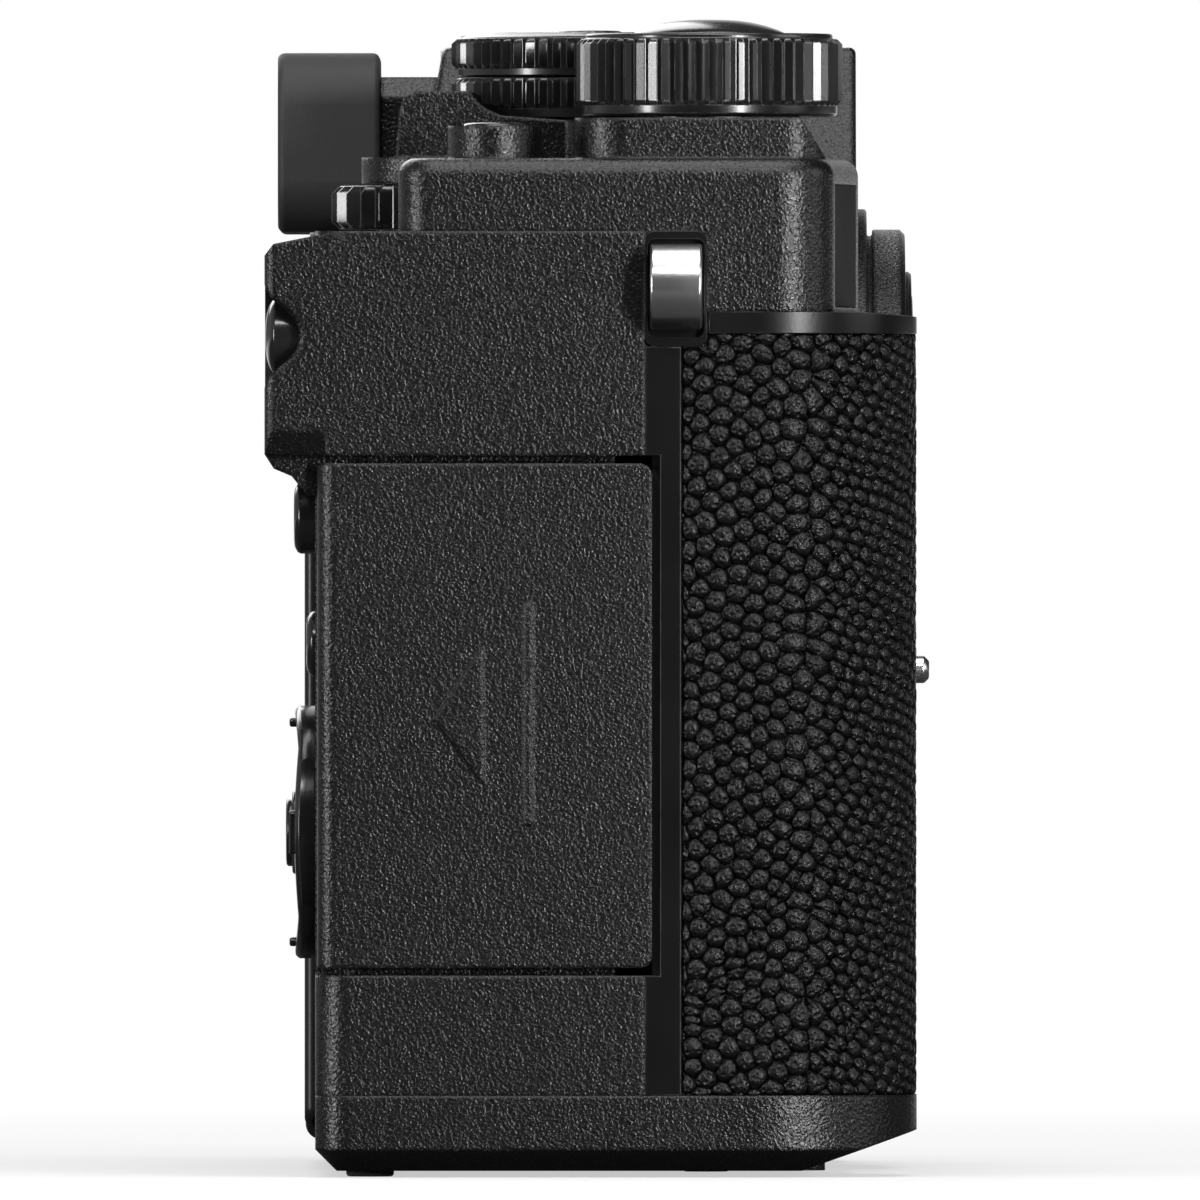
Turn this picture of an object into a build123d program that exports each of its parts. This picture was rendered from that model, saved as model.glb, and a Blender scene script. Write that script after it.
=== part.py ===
from build123d import *
import math
import os

# A mirrorless camera body of the retro kind, without its lens, in millimetres.
# The origin is the mouth of the tripod socket, straight under the lens axis.
# +Z is up, -Y looks at the subject and -X is the end with the hand grip.

# Body outline, seen from above
GRIP_END = 75.0
LEFT_END = 64.0
FRONT = 18.8
REAR = 23.1
GRIP_FRONT = 23.3
GRIP_FLAT = 54.0
GRIP_ROOT = 43.0
GRIP_CORNER = 12.0
LEFT_CORNER = 9.0
REAR_CORNER = 2.6
GRIP_BLEND = 6.0

# Heights of the seams and faces
BASE_TOP = 5.8
LEATHER_TOP = 64.5
GRIP_TOP = 66.2
REAR_TOP = 72.4
BODY_TOP = 78.0
FOOT = 0.5
BASE_EDGE = 1.65
BASE_SLANT_Y = -14.4
BASE_SLANT = 0.35

# Walls and clearances
SHELL = 1.8
SKIN = 0.6
SEAM_Y = -2.3
STRIP_WIDTH = 2.8
SHOULDER_REAR = 16.7
SHOULDER_CORNER = 4.2
FIT = 0.1
RUN = 0.05
PLAY = 0.2

CORNER_PLATE_T = 0.4

# Viewfinder hump
HUMP_TOP = 87.08
HUMP_REAR = 14.0
HUMP_HALF_TOP = 19.0
HUMP_HALF_FOOT = 24.5
LEDGE_TOP = 84.8
LEDGE_REAR = 18.25
HUMP_WALL = 1.6

# Platforms on the shoulder
PLATFORM_TOP = 81.16
PLATFORM_FRONT = 16.3
PLATFORM_REAR = 3.1
TOWER_TOP = 83.4
TOWER_X = (-50.0, -25.0)

# Lens mount, from the throat outwards
LENS_Z = 37.9
FLANGE_Y = -23.3
SLEEVE_R = 22.5
TAB_STEP = 0.8
TAB_REACH = 2.2
TAB_T = 1.5
SLEEVE_LIP = 1.4
RING_WIDTH = 4.4
TRIM_WIDTH = 1.9
BARREL_WIDTH = 3.3
COLLAR_STEP = 1.6
BAYONET_T = 2.2
TAB_R = SLEEVE_R + TAB_STEP
BAYONET_BORE_R = TAB_R + TAB_REACH
SLEEVE_OUT_R = BAYONET_BORE_R + SLEEVE_LIP
BAYONET_R = BAYONET_BORE_R + RING_WIDTH
TRIM_R = BAYONET_R + TRIM_WIDTH
BARREL_R = TRIM_R + BARREL_WIDTH
COLLAR_R = BARREL_R + COLLAR_STEP
MOUNT_SCREW_CIRCLE = SLEEVE_OUT_R + 0.8
LOCK_PIN_R = 1.08
LOCK_PIN_OUT = 1.5
LOCK_PIN_CIRCLE = SLEEVE_OUT_R + 1.7
LOCK_PIN_ANGLE = 1.2
RELEASE_R = 4.8
RELEASE_X = COLLAR_R + 4.3
RELEASE_Z = 20.0

# Dials on the shoulder
DIAL_RIDGES = 60
RIDGE_DEPTH = 0.45
FRONT_DIAL = (-58.0, -7.28)
FRONT_DIAL_R = 10.35
FRONT_DIAL_TOP = 87.74
SHUTTER_R = 5.9
SHUTTER_TOP = 88.84
SHUTTER_TRAVEL = 1.0
MODE_DIAL = (-36.6, 2.08)
MODE_DIAL_R = 10.65
MODE_DIAL_TOP = 88.0
MODE_NECK_Z = 84.48
REAR_DIAL = (-55.0, 14.0)
REAR_DIAL_R = 8.0
REAR_DIAL_RIDGES = 38
REAR_DIAL_Z = (72.65, 76.0)
LEFT_DIAL = (44.5, -1.5)
LEFT_DIAL_R = 9.0
LEFT_DIAL_TOP = 84.2
LEVER_TOP = 80.0
COLLAR_BUTTON = (-66.5, 9.25)
COLLAR_BUTTON_R = 2.5
COLLAR_BUTTON_TOP = 80.8
BUTTON_TRAVEL = 0.5
STEM_R = 1.1

# Thumb rest and rear controls
REST_REAR = 27.0
REST_FOOT = 52.0
REST_TOP = 71.4
REST_END = -51.0
THUMB_BUTTON = (-71.1, 64.3)
THUMB_BUTTON_R = 2.9
DISH_FLOOR = 22.5
DISH_R = 5.1
UPPER_BUTTON = (-66.5, 50.3)
UPPER_BUTTON_R = 2.75
LOWER_BUTTON = (-67.5, 40.6)
LOWER_BUTTON_R = 2.5
PAD = (-46.0, 26.0)
PAD_R = 10.0
PAD_PROUD = 2.2
OK_R = 3.25
KEY_BOARD_Y = 19.5
KEY_BOARD_BOSSES = [(-68.0, 14.5), (-30.0, 12.5), (-30.0, 62.0), (-58.0, 68.5)]

# Card door on the grip end
CARD_Z = (15.65, 54.5)
CARD_FRONT = -2.85
CARD_GAP = 0.6
CARD_DOOR_T = 1.5
CARD_HINGE = (-74.1, 21.9)
CARD_KNUCKLE_R = 0.9
CARD_FLOOR = -72.4
CARD_LENGTH = 28.5
CARD_WIDTH = 24.4
CARD_SLOT_T = 2.4
CARD_PITCH = 7.0
SMALL_PIN_R = 0.5

# Monitor
MONITOR_X = (-18.9, 59.9)
MONITOR_Y = (18.7, 24.2)
MONITOR_Z = (2.9, 56.6)
RECESS_GAP = 0.5
RECESS_FLOOR = 17.2
RECESS_TOP = 59.8
BRACKET_Y = (17.6, 18.4)
TOP_HINGE = (22.6, 58.2)
LOW_HINGE = (22.9, 3.1)
HINGE_PIN_R = 0.7
HINGE_KNUCKLE_R = 1.25

# Inner frame, shutter and sensor
FRAME_X = (-35.2, 45.6)
FRAME_Y = (-14.5, 14.0)
FRAME_WALL = 1.6
FRAME_TOP = 65.0
SHUTTER_DEPTH = 4.2
GATE = (27.0, 19.0)
CURTAIN_H = 21.0
LEAVES = 4
LEAF_T = 0.3
SENSOR_PLANE = -4.05
SENSOR = (23.5, 15.7)
STAGE_GAP = 0.3
PLATE_T = 1.0

# Battery
BATTERY_X = (-69.3, -36.2)
BATTERY_Y = (-15.2, -2.4)
BATTERY_Z = (2.2, 46.0)
BATTERY_GAP = 0.3
BOX_WALL = 0.7
BATTERY_HINGE_X = -33.6
DOOR_T = 1.6

# Tripod socket, quarter-inch thread at its minor diameter
SOCKET_BORE_R = 2.6
SOCKET_R = 5.0
SOCKET_DEPTH = 7.0

# Hot shoe
SHOE_SLOT = 18.7
SHOE_MOUTH = 12.5
SHOE_FLOOR = 84.9
SHOE_HEIGHT = 2.0
SHOE_Y = (-5.4, 13.6)
SHOE_PLATE = 0.6

# Strap lugs
LUG_Y = (-6.7, -2.7)
LUG_Z = (64.8, 71.4)
LUG_WALL = 1.05
LUG_REACH = 5.35
LUG_SEAT_Y = (-7.1, -2.3)
LUG_SEAT_Z = (63.5, 72.4)
LUG_SEAT_DEPTH = 2.0
LUG_SEAT_CORNER = 0.8

# Feet and base screws, as places on the base
FOOT_R = 1.85
FEET = [(-65.0, 18.9), (-28.5, -7.1), (28.5, -7.1), (56.0, 12.5)]
BASE_SCREWS = [(-22.0, 9.0), (22.0, 9.0), (-20.0, -11.5), (20.0, -11.5)]

# Eyecup and dioptre dial
DIOPTRE_Y = 8.0
DIOPTRE_Z = 82.2
EYECUP_Y = (18.3, 26.3)
EYECUP_Z = (72.7, 86.69)
EYECUP_HALF = 18.0

# Ports on the left end
PORT_Y = (0.0, 14.0)
PORT_Z = (18.0, 56.0)
PORT_T = 1.5
PORT_DEPTH = 9.8
PORT_PIN = (63.2, -0.2)

FAR = 200.0
parts = {}


def span(x0, x1, y0, y1, z0, z1):
    """A block between two corners."""
    middle = Pos((x0 + x1) / 2, (y0 + y1) / 2, (z0 + z1) / 2)
    return middle * Box(x1 - x0, y1 - y0, z1 - z0)


def post(x, y, r, z0, z1):
    """An upright round."""
    return Pos(x, y, (z0 + z1) / 2) * Cylinder(r, z1 - z0)


def bar_y(x, z, r, y0, y1):
    """A round that runs front to back."""
    return Pos(x, (y0 + y1) / 2, z) * Rot(90, 0, 0) * Cylinder(r, y1 - y0)


def bar_x(y, z, r, x0, x1):
    """A round that runs from side to side."""
    return Pos((x0 + x1) / 2, y, z) * Rot(0, 90, 0) * Cylinder(r, x1 - x0)


def plan(corners):
    """An outline of (x, y, corner radius) on the base plane."""
    face = make_face(Polyline(*[(x, y) for x, y, _ in corners], close=True))
    for x, y, r in corners:
        if r > 0:
            face = fillet(face.vertices().sort_by_distance((x, y, 0))[0], r)
    return face


def upright(face, z0, z1):
    """An outline on the base plane, raised between two heights."""
    return extrude(Pos(0, 0, z0) * face, amount=z1 - z0, dir=(0, 0, 1))


def along_x(points, x0, x1):
    """A side profile of (y, z), drawn out from x0 to x1."""
    face = Plane.YZ * make_face(Polyline(*points, close=True))
    return extrude(Pos(x0, 0, 0) * face, amount=x1 - x0, dir=(1, 0, 0))


def along_y(points, y0, y1):
    """A front profile of (x, z), drawn out from y0 to y1."""
    face = Plane.XZ * make_face(Polyline(*points, close=True))
    return extrude(Pos(0, y0, 0) * face, amount=y1 - y0, dir=(0, 1, 0))


def turned_z(points, x=0, y=0):
    """A profile of (radius, z), turned about an upright axis."""
    face = Plane.XZ * make_face(Polyline(*points, close=True))
    return Pos(x, y, 0) * revolve(face, Axis.Z)


def turned_y(points, x=0, z=0):
    """A profile of (radius, y), turned about an axis that runs front to back."""
    face = make_face(Polyline(*points, close=True))
    return Pos(x, 0, z) * revolve(face, Axis.Y)


def around_lens(angle, r):
    """The x and z of a point on a circle about the lens axis."""
    a = math.radians(angle)
    return r * math.cos(a), LENS_Z + r * math.sin(a)


def ridged(r, depth, ridges, z0, z1):
    """A round with V ridges and bevelled ends, on the Z axis."""
    points = []
    for n in range(ridges):
        crest = 2 * math.pi * n / ridges
        root = crest + math.pi / ridges
        points.append((r * math.cos(crest), r * math.sin(crest)))
        points.append(((r - depth) * math.cos(root), (r - depth) * math.sin(root)))
    star = upright(make_face(Polyline(*points, close=True)), z0, z1)
    blank = turned_z(
        [(0, z0), (r - depth, z0), (r, z0 + depth), (r, z1 - depth), (r - depth, z1), (0, z1)]
    )
    return star & blank


def body_plan(inset=0.0):
    """The body's outline below the shoulder, with the swell of the grip."""
    outline = plan(
        [
            (-GRIP_END, REAR, REAR_CORNER),
            (-GRIP_END, -GRIP_FRONT, GRIP_CORNER),
            (-GRIP_FLAT, -GRIP_FRONT, GRIP_BLEND),
            (-GRIP_ROOT, -FRONT, GRIP_BLEND),
            (LEFT_END, -FRONT, LEFT_CORNER),
            (LEFT_END, REAR, REAR_CORNER),
        ]
    )
    return offset(outline, amount=-inset) if inset else outline


def shoulder_plan(inset=0.0):
    """The shoulder's outline, with its slanted front facet at the grip end."""
    outline = plan(
        [
            (-GRIP_END, SHOULDER_REAR, REAR_CORNER),
            (-GRIP_END, -(FRONT - 2.4), SHOULDER_CORNER),
            (-56.0, -FRONT, 3.0),
            (LEFT_END, -FRONT, LEFT_CORNER),
            (LEFT_END, SHOULDER_REAR, REAR_CORNER),
        ]
    )
    return offset(outline, amount=-inset) if inset else outline


def front_half(z0, z1, back=SEAM_Y):
    return span(-FAR, FAR, -FAR, back, z0, z1)


def rear_half(z0, z1, front=SEAM_Y):
    return span(-FAR, FAR, front, FAR, z0, z1)


def lug_seat_block(side, grow=0.0):
    """The room that a lug's seat takes in the end wall; side is -1 at the grip."""
    end = GRIP_END if side < 0 else LEFT_END
    x0, x1 = sorted((side * (end - LUG_SEAT_DEPTH - grow), side * (end + 1 if grow else end)))
    y0, y1 = LUG_SEAT_Y
    z0, z1 = LUG_SEAT_Z
    block = span(x0, x1, y0, y1, z0, z1)
    return fillet(block.edges().filter_by(Axis.X), LUG_SEAT_CORNER)


def collar_room():
    """What the lens collar takes out of the pieces behind it."""
    return bar_y(0, LENS_Z, COLLAR_R + PLAY, -FAR, -(FRONT - SKIN))


def card_recess():
    z0, z1 = CARD_Z
    front = CARD_FRONT - CARD_GAP
    return span(-FAR, CARD_FLOOR, front, FAR, z0 - CARD_GAP, z1 + CARD_GAP)


def monitor_recess(z0, z1):
    x0, x1 = MONITOR_X
    return span(x0 - RECESS_GAP, x1 + RECESS_GAP, RECESS_FLOOR, FAR, z0, z1)


def make_top_cover():
    cavity_top = BODY_TOP - SHELL
    cover = upright(shoulder_plan(), GRIP_TOP, BODY_TOP)
    cover = fillet(cover.faces().sort_by(Axis.Z)[-1].edges(), 1.3)
    cover -= rear_half(GRIP_TOP - 1, REAR_TOP)
    cover -= upright(shoulder_plan(SHELL), GRIP_TOP - 1, cavity_top)
    hump = along_y(
        [
            (-HUMP_HALF_FOOT, cavity_top),
            (-HUMP_HALF_FOOT, BODY_TOP),
            (-HUMP_HALF_TOP, HUMP_TOP),
            (HUMP_HALF_TOP, HUMP_TOP),
            (HUMP_HALF_FOOT, BODY_TOP),
            (HUMP_HALF_FOOT, cavity_top),
        ],
        -FRONT,
        HUMP_REAR,
    )
    hump = fillet(hump.edges().filter_by(Axis.Y).group_by(Axis.Z)[-1], 1.5)
    hump -= along_x([(HUMP_REAR - 0.6, HUMP_TOP), (HUMP_REAR, 83.7), (HUMP_REAR, HUMP_TOP)], -FAR, FAR)
    hump = fillet(hump.edges().filter_by(Axis.X).group_by(Axis.Z)[-1], 0.5)
    half = 17.0
    ledge = along_y(
        [
            (-half, REAR_TOP),
            (-half, LEDGE_TOP - 1.5),
            (-half + 1.5, LEDGE_TOP),
            (half - 1.5, LEDGE_TOP),
            (half, LEDGE_TOP - 1.5),
            (half, REAR_TOP),
        ],
        HUMP_REAR - 1,
        LEDGE_REAR,
    )
    cover += hump + ledge
    half = HUMP_HALF_TOP - 2.5
    roof = SHOE_FLOOR - HUMP_WALL
    cover -= span(-half, half, -(FRONT - HUMP_WALL), HUMP_REAR - HUMP_WALL, REAR_TOP, roof)
    cover -= span(-11.5, 11.5, 0, FAR, 75.0, 83.2)
    platform = upright(
        plan(
            [
                (-71.0, -PLATFORM_FRONT, 3.0),
                (-25.0, -PLATFORM_FRONT, 3.0),
                (-25.0, 10.5, 3.0),
                (-46.0, 10.5, 3.0),
                (-50.0, PLATFORM_REAR, 3.0),
                (-71.0, PLATFORM_REAR, 4.0),
            ]
        ),
        cavity_top,
        PLATFORM_TOP,
    )
    platform -= along_x(
        [(-PLATFORM_FRONT, BODY_TOP), (-PLATFORM_FRONT + 2.0, PLATFORM_TOP), (-PLATFORM_FRONT, PLATFORM_TOP)],
        -FAR,
        FAR,
    )
    tower = along_x(
        [
            (17.0, cavity_top),
            (16.98, 78.4),
            (16.7, 82.0),
            (16.4, 82.8),
            (15.4, TOWER_TOP),
            (11.3, TOWER_TOP),
            (10.6, 82.6),
            (9.9, 82.0),
            (8.7, 81.5),
            (3.1, 81.1),
            (3.1, cavity_top),
        ],
        *TOWER_X,
    )
    tower -= post(*MODE_DIAL, MODE_DIAL_R + 0.5, PLATFORM_TOP, FAR)
    x, y = COLLAR_BUTTON
    boss = post(x, y, COLLAR_BUTTON_R + 1.15, cavity_top, COLLAR_BUTTON_TOP - 0.25)
    x, y = REAR_DIAL
    pocket_wall = post(x, y, REAR_DIAL_R + 1.6, REAR_TOP, cavity_top)
    pocket_wall &= upright(shoulder_plan(), REAR_TOP, cavity_top)
    lobe = post(x, y, 5.6, cavity_top, BODY_TOP + 0.2)
    cover += platform + tower + boss + pocket_wall + lobe
    cover -= post(x, y, REAR_DIAL_R + 0.4, REAR_TOP, cavity_top)
    dioptre = bar_x(DIOPTRE_Y, DIOPTRE_Z, 2.2, half - 1, HUMP_HALF_FOOT - 1.0)
    cover += dioptre
    cover -= bar_x(DIOPTRE_Y, DIOPTRE_Z, 1.0 + RUN, half - 2, FAR)
    cover -= span(-10.6, 10.6, SHOE_Y[0] - 0.2, FAR, SHOE_FLOOR, HUMP_TOP + 1)
    cover -= post(*FRONT_DIAL, 4.2, cavity_top - 1, PLATFORM_TOP + 1)
    cover -= post(*MODE_DIAL, 2.7, cavity_top - 1, PLATFORM_TOP + 1)
    x, y = COLLAR_BUTTON
    cover -= post(x, y, COLLAR_BUTTON_R + PLAY, cavity_top + 1, FAR)
    cover -= post(x, y, 1.2, cavity_top - 1, FAR)
    cover -= collar_room()
    facet = upright(shoulder_plan(), 0, FAR) - upright(shoulder_plan(CORNER_PLATE_T), 0, FAR)
    cover -= facet & corner_plate_room(RUN)
    for side in (-1, 1):
        cover -= lug_seat_block(side, FIT)
    return cover


def make_rear_cover():
    cover = upright(body_plan(), BASE_TOP, REAR_TOP) & rear_half(0, REAR_TOP)
    cover -= upright(body_plan(SHELL), 0, REAR_TOP - SHELL)
    cover -= span(-FAR, FAR, -FAR, SHOULDER_REAR - SHELL, REAR_TOP - SHELL - 0.1, FAR) & upright(
        body_plan(SHELL), REAR_TOP - SHELL - 0.1, FAR
    )
    x, y = REAR_DIAL
    cover += post(x, y, REAR_DIAL_R + 1.6, REAR_TOP - SHELL, REAR_TOP)
    rest = along_x(
        [
            (REAR - SHELL, REST_FOOT),
            (23.7, REST_FOOT),
            (24.9, 53.5),
            (26.3, 54.1),
            (REST_REAR, 55.2),
            (REST_REAR, REST_TOP - 0.9),
            (26.3, REST_TOP),
            (REAR - SHELL, REAR_TOP),
        ],
        -GRIP_END,
        REST_END,
    )
    rest &= upright(
        plan(
            [
                (-GRIP_END, REAR - SHELL, 0),
                (-GRIP_END, REST_REAR, 0.8),
                (REST_END - 2.0, REST_REAR, 3.0),
                (REST_END, REAR - SHELL, 0),
            ]
        ),
        0,
        REAR_TOP,
    )
    corner = REAR - REAR_CORNER - 0.1
    rest += span(-GRIP_END, -GRIP_END + SHELL, corner, REAR, REST_FOOT + 2.0, REAR_TOP - 0.4)
    foot = REST_FOOT - 0.1
    slant = [(-GRIP_END, REST_FOOT + 5.0), (-GRIP_END + 1.6, foot), (-GRIP_END, foot)]
    rest -= along_y(slant, REAR - 0.8, FAR)
    cover += rest
    x0, x1 = MONITOR_X
    tub = 1.2
    cover += span(
        x0 - RECESS_GAP - tub,
        x1 + RECESS_GAP + tub,
        RECESS_FLOOR - tub,
        REAR - SHELL + 0.1,
        BASE_TOP,
        RECESS_TOP + tub,
    )
    cover -= monitor_recess(0, RECESS_TOP)
    y, z = TOP_HINGE
    for a, b in top_ears():
        cover += span(a, b, y - 1.3, REAR, z - HINGE_KNUCKLE_R, RECESS_TOP + 0.1)
    cover -= bar_x(y, z, HINGE_PIN_R + RUN, x0 - 0.2, x1 + 0.2)
    wall = span(CARD_FLOOR, CARD_FLOOR + SHELL, 0, REAR - SHELL + 0.1, CARD_Z[0] - 3, CARD_Z[1] + 3)
    cover += wall
    cover -= card_recess()
    cover -= span(-GRIP_END, CARD_FLOOR + SHELL + 1, 1.0, 18.2, 20.0, 50.0)
    x, z = THUMB_BUTTON
    rim = THUMB_BUTTON_R + PLAY
    above = REST_REAR + 1
    dish = [(0, DISH_FLOOR), (rim, DISH_FLOOR), (DISH_R, REST_REAR), (DISH_R, above), (0, above)]
    cover -= turned_y(dish, x, z)
    cover -= bar_y(x, z, STEM_R + PLAY, REAR - SHELL - 1, FAR)
    for (x, z), r in round_buttons():
        cover -= bar_y(x, z, r + PLAY, REAR - SHELL - 1, FAR)
    x, z = PAD
    cover -= bar_y(x, z, PAD_R + 0.3, 0, FAR)
    for x, z in KEY_BOARD_BOSSES:
        cover += bar_y(x, z, 1.6, KEY_BOARD_Y, REAR - SHELL + 0.1)
    z0, z1 = PORT_Z
    y0, y1 = PORT_Y
    back = LEFT_END - PORT_T - 0.1
    pocket = LEFT_END - PORT_DEPTH
    cover += span(pocket - 1.2, LEFT_END - SHELL + 0.1, y0 - 1.8, y1 + 1.2, z0 - 1.2, z1 + 1.2)
    cover -= span(pocket, back, y0 + 0.6, y1 - 0.8, z0 + 0.8, z1 - 0.8)
    cover -= span(back, FAR, y0 - 1.4, y1 + 0.2, z0 - 0.2, z1 + 0.2)
    cover -= post(*PORT_PIN, SMALL_PIN_R + RUN, z0 - 0.8, z1 + 0.8)
    return cover


def top_ears():
    """Where the rear cover holds the monitor bracket's hinge pin."""
    x0, x1 = MONITOR_X
    middle = (x0 + x1) / 2
    return ((x0 - 0.5, x0 + 4.5), (middle - 2.5, middle + 2.5), (x1 - 4.5, x1 + 0.5))


def round_buttons():
    return (
        (UPPER_BUTTON, UPPER_BUTTON_R),
        (LOWER_BUTTON, LOWER_BUTTON_R),
    )


def make_front_cover():
    cover = upright(body_plan(SKIN), BASE_TOP, GRIP_TOP) & front_half(0, GRIP_TOP)
    cover -= upright(body_plan(SKIN + SHELL), 0, FAR)
    cover -= front_half(LEATHER_TOP, FAR, SEAM_Y - 4.9)
    cover += bar_y(0, LENS_Z, SLEEVE_OUT_R + 4, -(FRONT - SKIN), -(FRONT - SKIN - SHELL)) & front_half(
        BASE_TOP, LEATHER_TOP
    )
    cover -= bar_y(0, LENS_Z, SLEEVE_OUT_R + FIT, -FAR, 0)
    cover -= bar_y(RELEASE_X, RELEASE_Z, RELEASE_R + PLAY, -FAR, 0)
    x, z = around_lens(LOCK_PIN_ANGLE, LOCK_PIN_CIRCLE)
    cover -= bar_y(x, z, LOCK_PIN_R + 0.15, -FAR, 0)
    cover -= card_recess()
    for side in (-1, 1):
        cover -= lug_seat_block(side, FIT)
    return cover


def skin_layer(z0, z1):
    """The thin layer that lies on the casting."""
    return upright(body_plan(), z0, z1) - upright(body_plan(SKIN), z0 - 1, z1 + 1)


def make_coverings():
    leather_back = SEAM_Y - STRIP_WIDTH - FIT
    leather = skin_layer(BASE_TOP + 0.06, LEATHER_TOP) & front_half(0, FAR, leather_back)
    leather -= bar_y(0, LENS_Z, COLLAR_R + PLAY, -FAR, 0)
    leather -= bar_y(RELEASE_X, RELEASE_Z, RELEASE_R + PLAY, -FAR, 0)
    strips = skin_layer(BASE_TOP, LUG_SEAT_Z[0]) & span(
        -FAR, FAR, SEAM_Y - STRIP_WIDTH, SEAM_Y, BASE_TOP, LUG_SEAT_Z[0]
    )
    strips -= card_recess()
    band = upright(body_plan(), LEATHER_TOP, GRIP_TOP) & front_half(0, FAR, LUG_SEAT_Y[0] - 0.1)
    slope = along_x([(-FRONT, GRIP_TOP), (-GRIP_FRONT, GRIP_TOP - 0.35), (-GRIP_FRONT, GRIP_TOP)], -FAR, FAR)
    band -= slope
    band -= collar_room()
    inner = upright(body_plan(SHELL + SKIN), 0, FAR) & span(-GRIP_ROOT - 1, FAR, -FAR, FAR, 0, FAR)
    band -= inner
    band -= bar_y(0, LENS_Z, SLEEVE_OUT_R + PLAY, -FAR, FAR)
    for side in (-1, 1):
        leather -= lug_seat_block(side, FIT)
    plate = upright(shoulder_plan(), 0, FAR) - upright(shoulder_plan(CORNER_PLATE_T), 0, FAR)
    plate &= corner_plate_room(0)
    return leather, strips + band + plate


def corner_plate_room(gap):
    """The stretch of the shoulder's front corner that its satin plate covers."""
    z0, z1 = GRIP_TOP + 0.4 - gap, BODY_TOP - 2.0 + gap
    return span(-70.6 - gap, -57.5 + gap, -FAR, -FRONT + 3.2, z0, z1)


def make_base_plate():
    plate = upright(body_plan(), 0, BASE_TOP)
    plate = chamfer(plate.faces().sort_by(Axis.Z)[0].edges(), BASE_EDGE)
    reach = GRIP_FRONT + 1.0 + BASE_SLANT_Y
    end = BASE_SLANT_Y - reach
    plate -= along_x([(BASE_SLANT_Y, 0), (end, reach * BASE_SLANT), (end, 0)], -FAR, FAR)
    x0, x1 = MONITOR_X
    cavity = upright(body_plan(SHELL + 1.2), SHELL, FAR) + upright(body_plan(SHELL), SHELL + 1.6, FAR)
    cavity -= span(x0 - RECESS_GAP - 1.8, FAR, RECESS_FLOOR - 1.8, FAR, 0, FAR)
    plate -= cavity
    plate -= monitor_recess(1.2, FAR)
    plate -= post(0, 0, SOCKET_R + FIT, -1, FAR)
    plate -= battery_hole(PLAY, FAR)
    y0, y1 = BATTERY_Y
    for a, b in battery_knuckles("plate"):
        plate += span(BATTERY_HINGE_X - 0.2, BATTERY_HINGE_X + 3, a, b, 0.2, SHELL)
        plate += bar_y(BATTERY_HINGE_X, 1.0, CARD_KNUCKLE_R, a, b)
    plate -= bar_y(BATTERY_HINGE_X, 1.0, SMALL_PIN_R + RUN, y0 - 2, y1 + 2)
    for x, y in BASE_SCREWS:
        plate -= post(x, y, 1.75, -1, 1.0)
        plate -= post(x, y, 0.85, -1, SHELL + 1)
    for x, y in FEET:
        plate -= post(x, y, FOOT_R - 0.6, -1, 0.6)
    plate -= collar_room()
    return plate


def battery_outline(grow):
    x0, x1 = BATTERY_X
    y0, y1 = BATTERY_Y
    g = grow
    return plan([(x0 - g, y0 - g, 2.0), (x1 + g, y0 - g, 1.0), (x1 + g, y1 + g, 1.0), (x0 - g, y1 + g, 1.0)])


def battery_hole(gap, top):
    """The way through the base for the battery, with room for the hinge."""
    y0, y1 = BATTERY_Y
    hole = upright(battery_outline(BOX_WALL + BATTERY_GAP + gap), -1, top)
    return hole + span(BATTERY_X[1], BATTERY_HINGE_X + 1.2, y0, y1, -1, top)


def battery_knuckles(owner):
    """Stretches of the battery door's hinge: the door in the middle, the plate outside."""
    y0, y1 = BATTERY_Y
    if owner == "door":
        return ((y0 + 3.2, y1 - 3.2),)
    return ((y0, y0 + 3.0), (y1 - 3.0, y1))


def make_battery_set():
    z0, z1 = BATTERY_Z
    x0, x1 = BATTERY_X
    battery = upright(battery_outline(0), z0, z1)
    box = upright(battery_outline(BATTERY_GAP + BOX_WALL), z0 - 0.3, z1 + 3.0)
    box -= upright(battery_outline(BATTERY_GAP), 0, z1 + 2.0)
    door = upright(battery_outline(BOX_WALL + BATTERY_GAP), 0, DOOR_T)
    reach = BATTERY_X[1] + BOX_WALL
    for a, b in battery_knuckles("door"):
        door += span(reach - 0.6, BATTERY_HINGE_X, a, b, 0.3, DOOR_T)
        door += bar_y(BATTERY_HINGE_X, 1.0, CARD_KNUCKLE_R, a, b)
    for a, b in battery_knuckles("plate"):
        door -= span(BATTERY_HINGE_X - 1.4, FAR, a - 0.2, b + 0.2, -1, FAR)
    door -= bar_y(BATTERY_HINGE_X, 1.0, SMALL_PIN_R + RUN, -FAR, FAR)
    middle = (BATTERY_Y[0] + BATTERY_Y[1]) / 2
    slot = span(x0 + 2.0, x0 + 10.0, middle - 2.5, middle + 2.5, -1, 0.9)
    door -= slot
    latch = span(x0 + 2.2, x0 + 6.8, middle - 2.3, middle + 2.3, 0.15, 0.85)
    for n in range(3):
        latch += span(x0 + 3.0 + 1.2 * n, x0 + 3.6 + 1.2 * n, middle - 1.8, middle + 1.8, 0.0, 0.2)
    pin = bar_y(BATTERY_HINGE_X, 1.0, SMALL_PIN_R, BATTERY_Y[0] + 0.1, BATTERY_Y[1] - 0.1)
    return battery, box, door, latch, pin


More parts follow.
